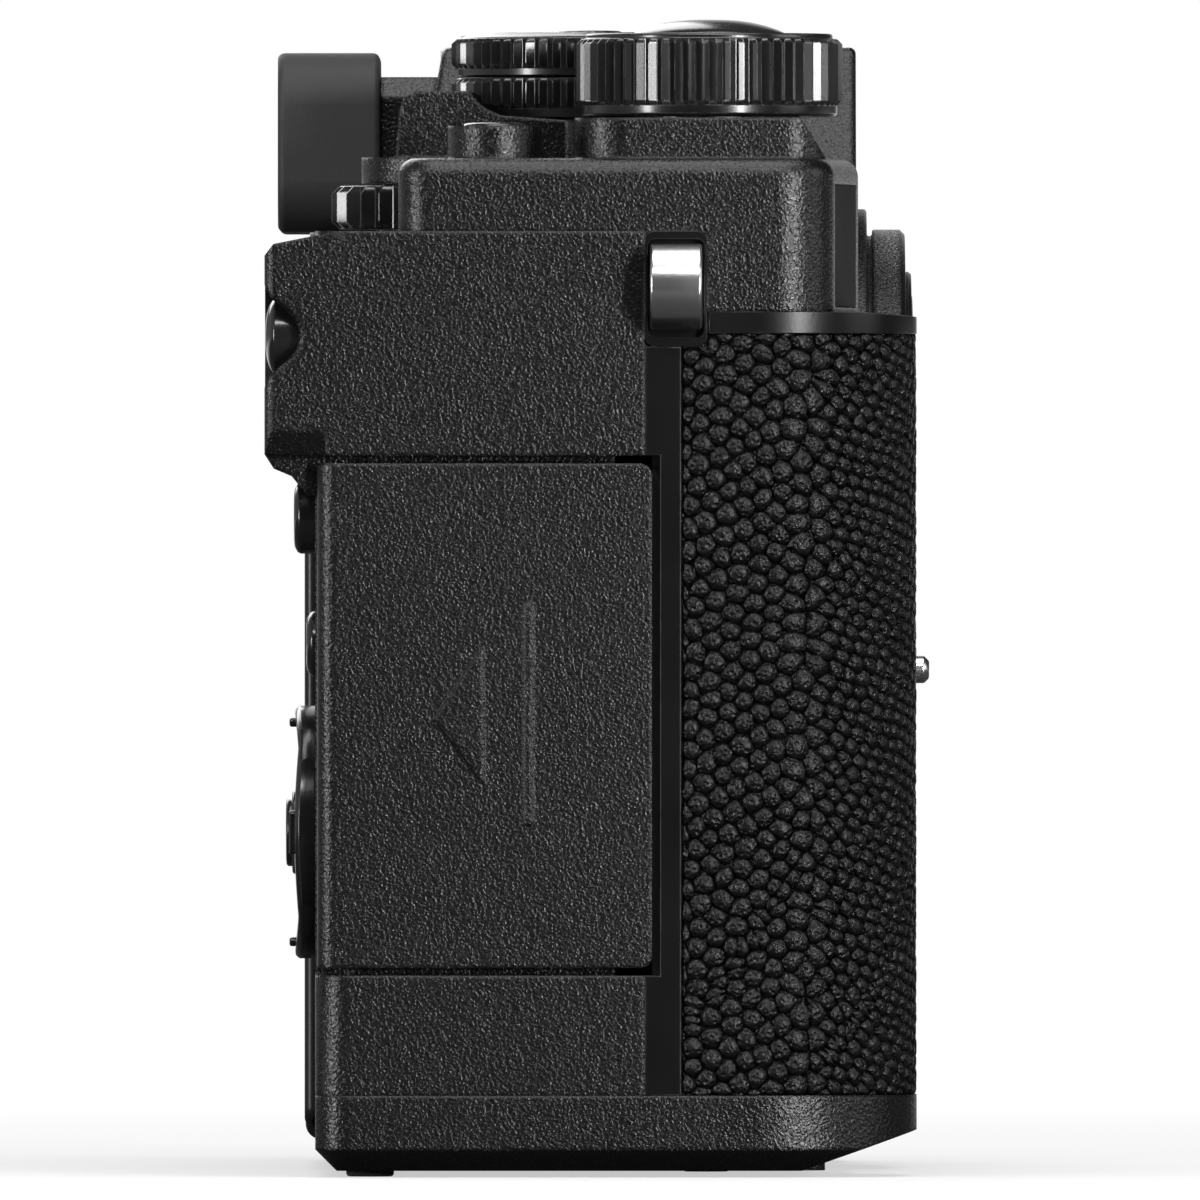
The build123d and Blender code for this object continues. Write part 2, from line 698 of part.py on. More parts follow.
def make_mount():
    back = -(FRONT - SKIN)
    seat = FLANGE_Y + BAYONET_T
    front = FLANGE_Y + 0.6
    bore = SLEEVE_OUT_R + FIT
    collar = turned_y(
        [
            (bore, back),
            (COLLAR_R, back),
            (COLLAR_R, -19.7),
            (BARREL_R - 0.5, -19.7),
            (BARREL_R - 0.5, -20.0),
            (BARREL_R, -20.0),
            (BARREL_R, front + 0.4),
            (BARREL_R - 0.4, front),
            (TRIM_R + 0.05, front),
            (TRIM_R + 0.05, front + 1.2),
            (BAYONET_R + 0.05, front + 1.2),
            (BAYONET_R + 0.05, seat),
            (bore, seat),
        ],
        z=LENS_Z,
    )
    trim = turned_y(
        [
            (BAYONET_R + 0.05, front + 1.2),
            (TRIM_R, front + 1.2),
            (TRIM_R, FLANGE_Y + 0.25),
            (TRIM_R - 0.15, FLANGE_Y + 0.1),
            (BAYONET_R + 0.05, FLANGE_Y + 0.1),
        ],
        z=LENS_Z,
    )
    ring = turned_y(
        [(BAYONET_BORE_R, seat), (BAYONET_R, seat), (BAYONET_R, FLANGE_Y), (BAYONET_BORE_R, FLANGE_Y)],
        z=LENS_Z,
    )
    tab_blank = turned_y(
        [
            (TAB_R, FLANGE_Y + 0.3),
            (BAYONET_BORE_R + 0.2, FLANGE_Y + 0.3),
            (BAYONET_BORE_R + 0.2, FLANGE_Y + 0.3 + TAB_T),
            (TAB_R, FLANGE_Y + 0.3 + TAB_T),
        ]
    )
    for angle in (90, 210, 330):
        a, b = math.radians(angle - 20), math.radians(angle + 20)
        wedge = along_y(
            [(0, 0), (40 * math.cos(a), 40 * math.sin(a)), (40 * math.cos(b), 40 * math.sin(b))], -FAR, FAR
        )
        ring += Pos(0, 0, LENS_Z) * (tab_blank & wedge)
    screws = []
    for n in range(6):
        x, z = around_lens(30 + 60 * n, MOUNT_SCREW_CIRCLE)
        ring -= bar_y(x, z, 1.35, -FAR, FLANGE_Y + 1.0)
        ring -= bar_y(x, z, 0.8, -FAR, 0)
        collar -= bar_y(x, z, 0.8, -FAR, seat + 2.0)
        screw = bar_y(x, z, 1.3, FLANGE_Y + 0.1, FLANGE_Y + 1.0)
        screw += bar_y(x, z, 0.75, FLANGE_Y + 1.0, seat + 1.9)
        screws.append(screw - span(x - 0.9, x + 0.9, -FAR, FLANGE_Y + 0.45, z - 0.15, z + 0.15))
    x, z = around_lens(LOCK_PIN_ANGLE, LOCK_PIN_CIRCLE)
    hole = bar_y(x, z, LOCK_PIN_R + 0.15, -FAR, 0)
    ring -= hole
    collar -= hole
    plate_y = -(FRONT - SKIN - SHELL) + 0.2
    pin = bar_y(x, z, LOCK_PIN_R, FLANGE_Y - LOCK_PIN_OUT, plate_y)
    pin = chamfer(pin.faces().sort_by(Axis.Y)[0].edges(), 0.4)
    sleeve_front = seat + 0.5
    spring = turned_y(
        [
            (BAYONET_BORE_R + 0.1, seat),
            (SLEEVE_OUT_R, seat),
            (SLEEVE_OUT_R, sleeve_front),
            (BAYONET_BORE_R + 0.1, sleeve_front),
        ],
        z=LENS_Z,
    )
    sleeve = turned_y(
        [
            (SLEEVE_R, sleeve_front),
            (SLEEVE_OUT_R, sleeve_front),
            (SLEEVE_OUT_R, FRAME_Y[0]),
            (SLEEVE_R, FRAME_Y[0]),
        ],
        z=LENS_Z,
    )
    block = turned_y(
        [
            (SLEEVE_R + 0.2, FLANGE_Y + 0.8),
            (BAYONET_BORE_R - 0.2, FLANGE_Y + 0.8),
            (BAYONET_BORE_R - 0.2, sleeve_front),
            (SLEEVE_R + 0.2, sleeve_front),
        ]
    )
    a, b = math.radians(270 - 34), math.radians(270 + 34)
    block &= along_y(
        [(0, 0), (40 * math.cos(a), 40 * math.sin(a)), (40 * math.cos(b), 40 * math.sin(b))], -FAR, FAR
    )
    block = Pos(0, 0, LENS_Z) * block
    pins = []
    for n in range(10):
        x, z = around_lens(270 + 6.2 * (n - 4.5), (SLEEVE_R + BAYONET_BORE_R) / 2)
        block -= bar_y(x, z, 0.55, -FAR, FLANGE_Y + 2.0)
        pins.append(bar_y(x, z, 0.5, FLANGE_Y + 0.3, FLANGE_Y + 2.0))
    return {
        "mount_collar": collar,
        "mount_trim_ring": trim,
        "bayonet_ring": ring,
        "mount_spring": spring,
        "throat_baffle": sleeve + block,
        "contact_pins": Part() + pins,
        "lock_pin": pin,
    }, screws


def make_release():
    inner = -(FRONT - SKIN - SHELL)
    button = turned_y(
        [
            (0, inner + 0.2),
            (RELEASE_R + 0.8, inner + 0.2),
            (RELEASE_R + 0.8, inner + 0.8),
            (0, inner + 0.8),
        ],
        x=RELEASE_X,
        z=RELEASE_Z,
    )
    button += turned_y(
        [
            (0, inner + 0.3),
            (RELEASE_R, inner + 0.3),
            (RELEASE_R, -(FRONT + 2.2)),
            (RELEASE_R - 0.6, -(FRONT + 2.8)),
            (0, -(FRONT + 2.8)),
        ],
        x=RELEASE_X,
        z=RELEASE_Z,
    )
    x, z = around_lens(LOCK_PIN_ANGLE, LOCK_PIN_CIRCLE)
    room = SLEEVE_OUT_R + 0.4
    plate = along_y(
        [
            (x - 2, z + 2.5),
            (x + 3, z + 2.5),
            (RELEASE_X + RELEASE_R, RELEASE_Z + 4),
            (RELEASE_X + RELEASE_R, RELEASE_Z - 4),
            (RELEASE_X - RELEASE_R, RELEASE_Z - 4),
            (x - 2, z - 6),
        ],
        inner + 0.2,
        inner + 0.8,
    )
    plate -= bar_y(0, LENS_Z, room, -FAR, FAR)
    return button + plate


def make_front_dial():
    low = PLATFORM_TOP + 0.15
    top = FRONT_DIAL_TOP
    dial = ridged(FRONT_DIAL_R, RIDGE_DEPTH, DIAL_RIDGES, 82.17, top - 0.4)
    dial += turned_z([(0, low), (9.9, low), (9.9, 82.3), (0, 82.3)])
    lid = FRONT_DIAL_R - 0.8
    dial += turned_z([(0, top - 1.7), (lid, top - 1.7), (lid, top - 0.1), (lid - 0.15, top), (0, top)])
    dial -= post(0, 0, SHUTTER_R + 0.25, 0, FAR)
    core_top = FRONT_DIAL_TOP - SHUTTER_TRAVEL - 0.25
    core = post(0, 0, SHUTTER_R + 0.1, PLATFORM_TOP, core_top) - post(0, 0, 4.2, 0, FAR)
    dome_r = (SHUTTER_R**2 + 1.14**2) / (2 * 1.14)
    cap = post(0, 0, SHUTTER_R, core_top + SHUTTER_TRAVEL + 0.1, FAR)
    cap &= Pos(0, 0, SHUTTER_TOP - dome_r) * Sphere(dome_r)
    button = cap + post(0, 0, 4.0, BODY_TOP + 0.5, FRONT_DIAL_TOP)
    where = Pos(*FRONT_DIAL, 0)
    return where * dial, where * core, where * button


def make_mode_dial():
    low = PLATFORM_TOP + 0.15
    ring = ridged(MODE_DIAL_R, RIDGE_DEPTH, DIAL_RIDGES, 82.1, MODE_NECK_Z)
    ring += post(0, 0, MODE_DIAL_R - RIDGE_DEPTH, low, 82.2)
    ring -= post(0, 0, 6.8 + RUN, 0, FAR)
    hub = post(0, 0, 6.8, PLATFORM_TOP, MODE_NECK_Z) - post(0, 0, 2.7, 0, FAR)
    top = MODE_DIAL_TOP
    dial = ridged(MODE_DIAL_R, RIDGE_DEPTH, DIAL_RIDGES, 85.22, top - 0.45)
    dial += post(0, 0, MODE_DIAL_R - 0.55, MODE_NECK_Z + 0.12, 85.3)
    dial += turned_z([(0, 87), (9.9, 87), (9.9, top - 0.5), (9.1, top), (0, top)])
    dial += post(0, 0, 2.65, BODY_TOP, 85.3)
    dial += turned_z([(0, top), (2.6, top), (2.4, top + 0.2), (0, top + 0.2)])
    where = Pos(*MODE_DIAL, 0)
    return where * dial, where * ring, where * hub


def make_rear_dial():
    z0, z1 = REAR_DIAL_Z
    dial = ridged(REAR_DIAL_R, 0.7, REAR_DIAL_RIDGES, z0, z1)
    dial -= post(0, 0, 1.5 + RUN, 0, FAR)
    pin = post(0, 0, 1.5, REAR_TOP, BODY_TOP - SHELL)
    where = Pos(*REAR_DIAL, 0)
    return where * dial, where * pin


def make_left_dial():
    dial = ridged(LEFT_DIAL_R, RIDGE_DEPTH, 48, LEVER_TOP + 0.15, LEFT_DIAL_TOP - 0.5)
    dial += post(0, 0, LEFT_DIAL_R - 0.9, LEFT_DIAL_TOP - 1, LEFT_DIAL_TOP)
    dial -= post(0, 0, 4.0 + RUN, 0, LEFT_DIAL_TOP - 1.2)
    hub = post(0, 0, 4.0, BODY_TOP, LEFT_DIAL_TOP - 1.3)
    lever = post(0, 0, LEFT_DIAL_R + 0.8, BODY_TOP + 0.1, LEVER_TOP)
    tab = span(LEFT_DIAL_R - 1, LEFT_DIAL_R + 3.6, -2.4, 2.4, BODY_TOP + 0.1, LEVER_TOP + 1.2)
    tab = Rot(0, 0, -60) * tab
    tab = fillet(tab.edges().filter_by(Axis.Z), 1.2) - post(0, 0, LEFT_DIAL_R + 0.4, LEVER_TOP, FAR)
    lever = lever + tab - post(0, 0, 4.0 + RUN, 0, FAR)
    where = Pos(*LEFT_DIAL, 0)
    return where * dial, where * hub, where * lever


def make_collar_button():
    x, y = COLLAR_BUTTON
    top = COLLAR_BUTTON_TOP
    cap = turned_z(
        [
            (0, BODY_TOP + 0.1),
            (COLLAR_BUTTON_R, BODY_TOP + 0.1),
            (COLLAR_BUTTON_R, top - 0.3),
            (COLLAR_BUTTON_R - 0.4, top),
            (0, top),
        ],
        x,
        y,
    )
    return cap + post(x, y, 1.0, BODY_TOP - SHELL, BODY_TOP + 0.2)


def make_rear_button(place, r, face_y, bulge):
    """A round button on the back, with its flange behind the wall."""
    x, z = place
    inner = REAR - SHELL
    shoulder = face_y - bulge * 0.3
    button = turned_y(
        [(0, inner - 0.3), (r, inner - 0.3), (r, face_y - bulge), (r - 0.5, shoulder), (0, face_y)], x, z
    )
    button += bar_y(x, z, r + 0.6, inner - 0.8, inner - 0.15)
    return button + bar_y(x, z, 0.9, KEY_BOARD_Y + BUTTON_TRAVEL + 0.1, inner - 0.7)


def make_thumb_button():
    """The domed button in the dish, held by a clip behind the dish's floor."""
    x, z = THUMB_BUTTON
    r = THUMB_BUTTON_R
    seat = DISH_FLOOR + BUTTON_TRAVEL + 0.1
    top = REST_REAR - 0.05
    dome = [(r, top - 0.8), (r - 0.5, top - 0.45), (1.4, top - 0.08), (0, top)]
    button = turned_y([(0, seat), (r, seat)] + dome, x, z)
    button += bar_y(x, z, STEM_R, KEY_BOARD_Y + BUTTON_TRAVEL + 0.1, seat + 0.1)
    return button + bar_y(x, z, STEM_R + 0.7, REAR - SHELL - 0.8, REAR - SHELL - 0.15)


def make_pad():
    """The four-way pad rocks on a carrier ring, round the button in its middle."""
    x, z = PAD
    face = REAR + PAD_PROUD
    rim = face - 0.45
    pad = turned_y(
        [
            (4.3, REAR - 1.0),
            (9.3, REAR - 1.0),
            (PAD_R - 0.2, REAR - 0.2),
            (PAD_R - 0.2, rim - 0.6),
            (PAD_R - 0.6, rim),
            (8.6, rim),
            (4.6, rim - 0.42),
            (4.3, rim - 1.2),
        ],
        x,
        z,
    )
    for angle in (0, 90, 180, 270):
        a = math.radians(angle)
        bump = Pos(x + 9.0 * math.cos(a), rim - 0.1, z + 9.0 * math.sin(a)) * Rot(0, -angle, 0)
        pad += bump * (Box(0.7, 1.0, 3.4) + Pos(0, 0, 1.7) * Rot(90, 0, 0) * Cylinder(0.35, 1.0)
                       + Pos(0, 0, -1.7) * Rot(90, 0, 0) * Cylinder(0.35, 1.0))
    carrier = turned_y(
        [(4.3, REAR - 2.3), (8.6, REAR - 2.3), (8.6, REAR - 1.7), (4.3, REAR - 1.7)],
        x,
        z,
    )
    ok = turned_y(
        [
            (0, REAR - 1.5),
            (OK_R, REAR - 1.5),
            (OK_R, face - 0.4),
            (OK_R - 0.6, face - 0.3),
            (OK_R - 0.6, face + 0.06),
            (OK_R - 0.9, face + 0.15),
            (0, face + 0.2),
        ],
        x,
        z,
    )
    ok += bar_y(x, z, 1.0, KEY_BOARD_Y + BUTTON_TRAVEL + 0.1, REAR - 1.4)
    return pad, carrier, ok


def make_key_board():
    board = span(-70.3, MONITOR_X[0] - 4.0, KEY_BOARD_Y - 0.8, KEY_BOARD_Y, 11.5, 69.5)
    return board


def make_card_set():
    z0, z1 = CARD_Z
    px, py = CARD_HINGE
    outer = -GRIP_END
    door = span(outer, outer + CARD_DOOR_T, CARD_FRONT, py, z0, z1)
    door = fillet(door.edges().filter_by(Axis.X).group_by(Axis.Y)[0], 0.8)
    door += post(px, py, CARD_KNUCKLE_R, z0, z1)
    knuckles = ((z0 + 3.0, z0 + 7.0), (z1 - 7.0, z1 - 3.0))
    for a, b in knuckles:
        door -= span(-FAR, 0, py - 1.4, FAR, a - 0.2, b + 0.2)
    door -= post(px, py, SMALL_PIN_R + RUN, 0, FAR)
    plate_x = px + CARD_KNUCKLE_R + 0.15
    slider = Part()
    for a, b in knuckles:
        slider += span(plate_x, plate_x + 0.5, 3.0, py, a, b)
        slider += span(px, plate_x + 0.5, py - 0.6, py + 0.6, a, b)
        slider += post(px, py, CARD_KNUCKLE_R, a, b)
    slider += span(plate_x, plate_x + 0.5, py - 3.3, py - 0.9, z0 + 3.0, z1 - 3.0)
    slider += post(px, py, SMALL_PIN_R, z0 + 0.2, z1 - 0.2)
    slot_y = 5.0
    low, high = (z0 + z1) / 2 - 14.4, (z0 + z1) / 2 + 14.4
    mouth = CARD_FLOOR + 5.9
    socket = span(mouth, FRAME_X[0], 2.0, RECESS_FLOOR + 0.4, low, high)
    for y in (slot_y, slot_y + CARD_PITCH):
        socket -= span(mouth - 1, mouth + CARD_LENGTH, y, y + CARD_SLOT_T, low + 2.2, low + 2.2 + CARD_WIDTH)
    return door, slider, socket


def make_monitor():
    x0, x1 = MONITOR_X
    y0, y1 = MONITOR_Y
    z0, z1 = MONITOR_Z
    shell = span(x0, x1, y0, y1, z0, z1)
    shell = fillet(shell.edges().filter_by(Axis.Y), 1.5)
    shell = fillet(shell.faces().sort_by(Axis.Y)[-1].edges(), 0.7)
    shell -= span(x0 + 3.0, x1 - 3.0, y1 - 1.0, FAR, z0 + 3.0, z1 - 3.0)
    glass = span(x0 + 3.1, x1 - 3.1, y1 - 1.0, y1 - 0.15, z0 + 3.1, z1 - 3.1)
    by0, by1 = BRACKET_Y
    ty, tz = TOP_HINGE
    ly, lz = LOW_HINGE
    k = HINGE_KNUCKLE_R
    bracket = span(x0 + 5.5, x1 - 5.5, by0, by1, lz - k, tz - 0.4)
    bracket -= span(x0 + 16, x1 - 16, 0, FAR, lz + 10, tz - 12)
    ears = top_ears()
    for (_, a), (b, _) in zip(ears[:-1], ears[1:]):
        bracket += span(a + 0.3, b - 0.3, by0, ty, tz - 1.2, tz - 0.4)
        bracket += bar_x(ty, tz, k, a + 0.3, b - 0.3)
    bracket -= bar_x(ty, tz, HINGE_PIN_R + RUN, -FAR, FAR)
    for a, b in low_knuckles():
        bracket += span(a, b, by0, ly, lz - k, lz - k + 0.7)
        bracket += bar_x(ly, lz, k, a, b)
        shell -= bar_x(ly, lz, k + 0.35, a - 0.3, b + 0.3)
        shell -= span(a - 0.3, b + 0.3, 0, ly, 0, lz + 0.2)
    middle = (x0 + x1) / 2
    own = bar_x(ly, lz, k, middle - 20, middle + 20)
    own -= span(-FAR, FAR, -FAR, FAR, -FAR, lz - k + 0.02)
    shell += own
    shell -= bar_x(ly, lz, HINGE_PIN_R + RUN, x0 - 1, x1 + 1)
    top_pin = bar_x(ty, tz, HINGE_PIN_R, x0 - 0.1, x1 + 0.1)
    bracket += bar_x(ly, lz, HINGE_PIN_R, x0 + 5.6, x1 - 5.6)
    return shell, glass, bracket, top_pin


def low_knuckles():
    """Where the bracket holds the monitor's own hinge pin."""
    x0, x1 = MONITOR_X
    return ((x0 + 5.5, x0 + 14.0), (x1 - 14.0, x1 - 5.5))


def make_frame():
    x0, x1 = FRAME_X
    y0, y1 = FRAME_Y
    w = FRAME_WALL
    floor = SHELL + RUN
    frame = span(x0, x1, y0, y0 + w, floor, FRAME_TOP)
    frame += span(x0, x0 + w, y0, y1, floor, FRAME_TOP)
    frame += span(x1 - w, x1, y0, y1, floor, FRAME_TOP)
    frame += span(x0, x1, y0, y1, floor, floor + w)
    frame -= bar_y(0, LENS_Z, SLEEVE_R - 1.0, -FAR, FAR) & span(-FAR, FAR, y0 - 1, y0 + w + 1, 0, FAR)
    frame -= post(0, 0, SOCKET_R + 0.02, -1, FAR)
    x, z = around_lens(LOCK_PIN_ANGLE, LOCK_PIN_CIRCLE)
    frame -= span(x - 3.6, RELEASE_X + RELEASE_R + 2.5, y0 - 1, y0 + w + 1, RELEASE_Z - 7, z + 4)
    by0, by1 = BATTERY_Y
    frame -= span(BATTERY_HINGE_X - 4, BATTERY_HINGE_X + 4, by0 - 1, by1 + 1, 0, 3.6)
    for x, y in BASE_SCREWS:
        frame -= post(x, y, 0.8, 0, floor + 5)
    return frame


def make_shutter():
    """The shutter's frame, and its curtain parked under the gate."""
    front = FRAME_Y[0] + FRAME_WALL
    back = front + SHUTTER_DEPTH
    gate_x, gate_z = GATE
    low = LENS_Z - gate_z / 2
    high = LENS_Z + gate_z / 2
    park = low - 0.4 - CURTAIN_H
    frame = span(-24, 24, front, back, park - 1.4, high + 4.0)
    frame -= span(-gate_x / 2, gate_x / 2, front - 1, back + 1, low, high)
    y0 = front + 1.0
    pitch = 0.8 * LEAF_T
    depth = (LEAVES - 1) * pitch + LEAF_T
    frame -= span(-19.2, 19.2, y0, y0 + depth + 0.4, park - 0.1, high + 1.6)
    leaf = CURTAIN_H / LEAVES
    curtain = Part()
    for n in range(LEAVES):
        y = y0 + 0.2 + pitch * n
        z = park + leaf * n
        curtain += span(-19.0, 19.0, y, y + LEAF_T, z, min(z + leaf + 1.0, park + CURTAIN_H))
    return frame, curtain


def make_sensor_stack():
    gx, gz = SENSOR
    p = SENSOR_PLANE
    glass = span(-gx / 2 - 1, gx / 2 + 1, p - 0.7, p, LENS_Z - gz / 2 - 1, LENS_Z + gz / 2 + 1)
    sensor = span(-gx / 2 - 2, gx / 2 + 2, p, p + 0.95, LENS_Z - gz / 2 - 2, LENS_Z + gz / 2 + 2)
    y = p + 0.95
    carrier = span(-19, 19, y, y + PLATE_T, LENS_Z - 15, LENS_Z + 15)
    carrier += sensor
    y += PLATE_T + STAGE_GAP
    stage = span(-22, 22, y, y + PLATE_T, LENS_Z - 19, LENS_Z + 19)
    stage -= span(-9, 9, y - 1, y + PLATE_T + 1, LENS_Z - 8, LENS_Z + 8)
    y += PLATE_T + STAGE_GAP
    w = FRAME_WALL
    base = span(FRAME_X[0] + w, FRAME_X[1] - w, y, y + PLATE_T, 12, FRAME_TOP - 2)
    base -= span(-9, 9, y - 1, y + PLATE_T + 1, LENS_Z - 8, LENS_Z + 8)
    board = span(FRAME_X[0] + w, FRAME_X[1] - w, 8.0, 9.2, 6.0, FRAME_TOP - 2)
    return {
        "sensor_glass": glass,
        "sensor_carrier": carrier,
        "sideways_stage": stage,
        "stabiliser_base": base,
        "circuit_boards": board + make_key_board(),
    }


def make_socket():
    frame_top = SHELL + RUN + FRAME_WALL
    socket = post(0, 0, SOCKET_R, 0, SOCKET_DEPTH)
    socket += post(0, 0, SOCKET_R + 2, frame_top, SOCKET_DEPTH)
    return socket - post(0, 0, SOCKET_BORE_R, -1, FAR)


def make_shoe():
    y0, y1 = SHOE_Y
    half = SHOE_SLOT / 2
    wall = 10.4 - half
    z0 = SHOE_FLOOR + SHOE_PLATE
    z1 = z0 + SHOE_HEIGHT
    shoe = span(-10.4, 10.4, y0, y1, SHOE_FLOOR, z0)
    for side in (-1, 1):
        a, b = sorted((side * half, side * (half + wall)))
        shoe += span(a, b, y0, y1, SHOE_FLOOR, z1 + 0.6)
        a, b = sorted((side * SHOE_MOUTH / 2, side * (half + wall)))
        shoe += span(a, b, y0, y1, z1, z1 + 0.6)
    shoe += span(-half, half, y0, y0 + 0.8, SHOE_FLOOR, z1)
    for x in (-3.2, 0, 3.2):
        shoe += post(x, y0 + 9 - abs(x), 0.7, z0, z0 + 0.15)
    return shoe


def make_eyepiece():
    y0, y1 = EYECUP_Y
    z0, z1 = EYECUP_Z
    mid = (z0 + z1) / 2
    cup = span(-EYECUP_HALF, EYECUP_HALF, y0, y1, z0, z1)
    cup = fillet(cup.edges().filter_by(Axis.Y), 4.0)
    cup = fillet(cup.faces().sort_by(Axis.Y)[-1].edges(), 1.0)
    cup -= span(-15.2, 15.2, y0 - 1, y0 + 1.6, z0 + 2.0, z1 - 2.6)
    window = span(-13.0, 13.0, y0, FAR, z0 + 3.0, z1 - 3.4)
    cup -= window
    frame = span(-15.0, 15.0, LEDGE_REAR, y0 + 1.5, z0 + 2.1, z1 - 2.7)
    frame -= span(-10.5, 10.5, 0, FAR, mid - 4.2, mid + 3.6)
    frame -= span(-1.2, 1.2, y0 + 1.0, FAR, z1 - 3.6, FAR)
    lens = span(-10.4, 10.4, LEDGE_REAR - 0.5, y0 + 1.0, mid - 4.1, mid + 3.5)
    return cup, frame, lens


def make_dioptre():
    y, z = DIOPTRE_Y, DIOPTRE_Z
    knob = Pos(0, y, z) * Rot(0, 90, 0) * ridged(3.3, 0.3, 24, HUMP_HALF_FOOT - 0.3, HUMP_HALF_FOOT + 2.0)
    return knob + bar_x(y, z, 1.0, HUMP_HALF_TOP, HUMP_HALF_FOOT)


def make_lug(side):
    """A strap lug, a bent loop that stands on its seat in the end wall."""
    end = GRIP_END if side < 0 else LEFT_END
    floor = end - LUG_SEAT_DEPTH + 0.8
    y0, y1 = LUG_Y
    z0, z1 = LUG_Z
    tip = floor + LUG_REACH
    corner = 2.6
    outer = plan([(floor, z0, 0), (tip, z0, corner), (tip, z1, corner), (floor, z1, 0)])
    w = LUG_WALL
    inner_corner = corner - w
    inner = plan(
        [
            (floor - 1, z0 + w, 0),
            (tip - w, z0 + w, inner_corner),
            (tip - w, z1 - w, inner_corner),
            (floor - 1, z1 - w, 0),
        ]
    )
    bend = extrude(Plane.XZ * outer, amount=y1 - y0, dir=(0, 1, 0))
    bend -= extrude(Plane.XZ * inner, amount=y1 - y0, dir=(0, 1, 0))
    loop = Pos(0, y0, 0) * bend
    loop += span(floor - 0.8, floor, y0, y1, z0, z1)
    if side < 0:
        loop = mirror(loop, about=Plane.YZ)
    seat = lug_seat_block(side)
    room_x = sorted((side * floor, side * (end + 1)))
    room = span(*room_x, y0 - 0.2, y1 + 0.2, z0 - 0.6, z1 + 0.4)
    seat -= fillet(room.edges().filter_by(Axis.X), LUG_SEAT_CORNER - 0.2)
    base_x = sorted((side * (floor - 0.8), side * floor))
    seat -= span(*base_x, y0, y1, z0, z1)
    return loop, seat


def make_ports():
    y0, y1 = PORT_Y
    z0, z1 = PORT_Z
    x, y = PORT_PIN
    cover = span(LEFT_END - PORT_T, LEFT_END, y, y1, z0, z1)
    cover += post(x, y, 0.8, z0, z1)
    cover -= post(x, y, SMALL_PIN_R + RUN, 0, FAR)
    pin = post(x, y, SMALL_PIN_R, z0 - 0.7, z1 + 0.7)
    board_back = LEFT_END - PORT_DEPTH
    face = board_back + 0.8
    board = span(board_back, face, y0 + 0.6, y1 - 0.8, z0 + 0.8, z1 - 0.8)
    mic = bar_x(7.0, 48.0, 3.6, face, face + 2.6) - bar_x(7.0, 48.0, 1.75, face + 0.4, FAR)
    hdmi = span(face, face + 2.6, 5.0, 8.6, 31.0, 38.0) - span(face + 0.4, FAR, 5.5, 8.1, 31.5, 37.5)
    usb = span(face, face + 2.6, 5.0, 8.4, 20.0, 28.6)
    usb -= span(face + 0.4, FAR, 5.4, 8.0, 20.4, 28.2)
    return cover, pin, board + mic + hdmi + usb


def make_fasteners(mount_screws):
    """All the screws, and the rubber feet."""
    screws = list(mount_screws)
    for x, y in BASE_SCREWS:
        screw = post(x, y, 1.65, 0.25, 1.0) + post(x, y, 0.75, 1.0, SHELL + FRAME_WALL)
        screws.append(screw - span(x - 1.1, x + 1.1, y - 0.18, y + 0.18, 0, 0.6))
    feet = []
    for x, y in FEET:
        foot = post(x, y, FOOT_R, -FOOT, 0) + post(x, y, FOOT_R - 0.65, 0, 0.55)
        feet.append(chamfer(foot.faces().sort_by(Axis.Z)[0].edges(), 0.15))
    return Part() + screws, Part() + feet


def build():
    parts["top_cover"] = make_top_cover()
    parts["rear_cover"] = make_rear_cover()
    parts["front_cover"] = make_front_cover()
    parts["base_plate"] = make_base_plate()
    parts["leather_covering"], parts["trim_panels"] = make_coverings()
    mount, mount_screws = make_mount()
    parts.update(mount)
    parts["screws"], parts["feet"] = make_fasteners(mount_screws)
    parts["release_button"] = make_release()
    parts["front_dial"], shutter_core, parts["shutter_button"] = make_front_dial()
    parts["mode_dial"], parts["drive_ring"], mode_hub = make_mode_dial()
    parts["rear_dial"], rear_dial_pin = make_rear_dial()
    parts["left_dial"], left_hub, parts["power_lever"] = make_left_dial()
    parts["dial_hubs"] = shutter_core + mode_hub + left_hub
    parts["collar_button"] = make_collar_button()
    parts["thumb_button"] = make_thumb_button()
    parts["upper_button"] = make_rear_button(UPPER_BUTTON, UPPER_BUTTON_R, REAR + 1.67, 0.7)
    parts["lower_button"] = make_rear_button(LOWER_BUTTON, LOWER_BUTTON_R, REAR + 0.7, 0.3)
    parts["four_way_pad"], parts["pad_carrier"], parts["ok_button"] = make_pad()
    parts["card_door"], parts["card_slider"], parts["card_socket"] = make_card_set()
    shell, glass, bracket, bracket_pin = make_monitor()
    parts["monitor_shell"], parts["monitor_glass"], parts["monitor_bracket"] = shell, glass, bracket
    battery, box, door, latch, battery_pin = make_battery_set()
    parts["battery"], parts["battery_box"] = battery, box
    parts["battery_door"], parts["battery_latch"] = door, latch
    parts["inner_frame"] = make_frame()
    parts["shutter_frame"], parts["shutter_curtain"] = make_shutter()
    parts.update(make_sensor_stack())
    parts["tripod_socket"] = make_socket()
    parts["hot_shoe"] = make_shoe()
    parts["eyecup"], parts["eyepiece_frame"], parts["eyepiece_lens"] = make_eyepiece()
    parts["dioptre_dial"] = make_dioptre()
    right_lug, right_seat = make_lug(-1)
    left_lug, left_seat = make_lug(1)
    parts["strap_lugs"], parts["lug_seats"] = right_lug + left_lug, right_seat + left_seat
    parts["port_cover"], port_pin, parts["port_sockets"] = make_ports()
    parts["hinge_pins"] = rear_dial_pin + bracket_pin + battery_pin + port_pin


build()
os.makedirs("parts", exist_ok=True)
for name, shape in parts.items():
    export_step(shape, f"parts/{name}.step")
print(len(parts), "parts")
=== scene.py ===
import math

import bmesh
import bpy
import numpy as np
from mathutils import Matrix, Vector
from mathutils.geometry import delaunay_2d_cdt


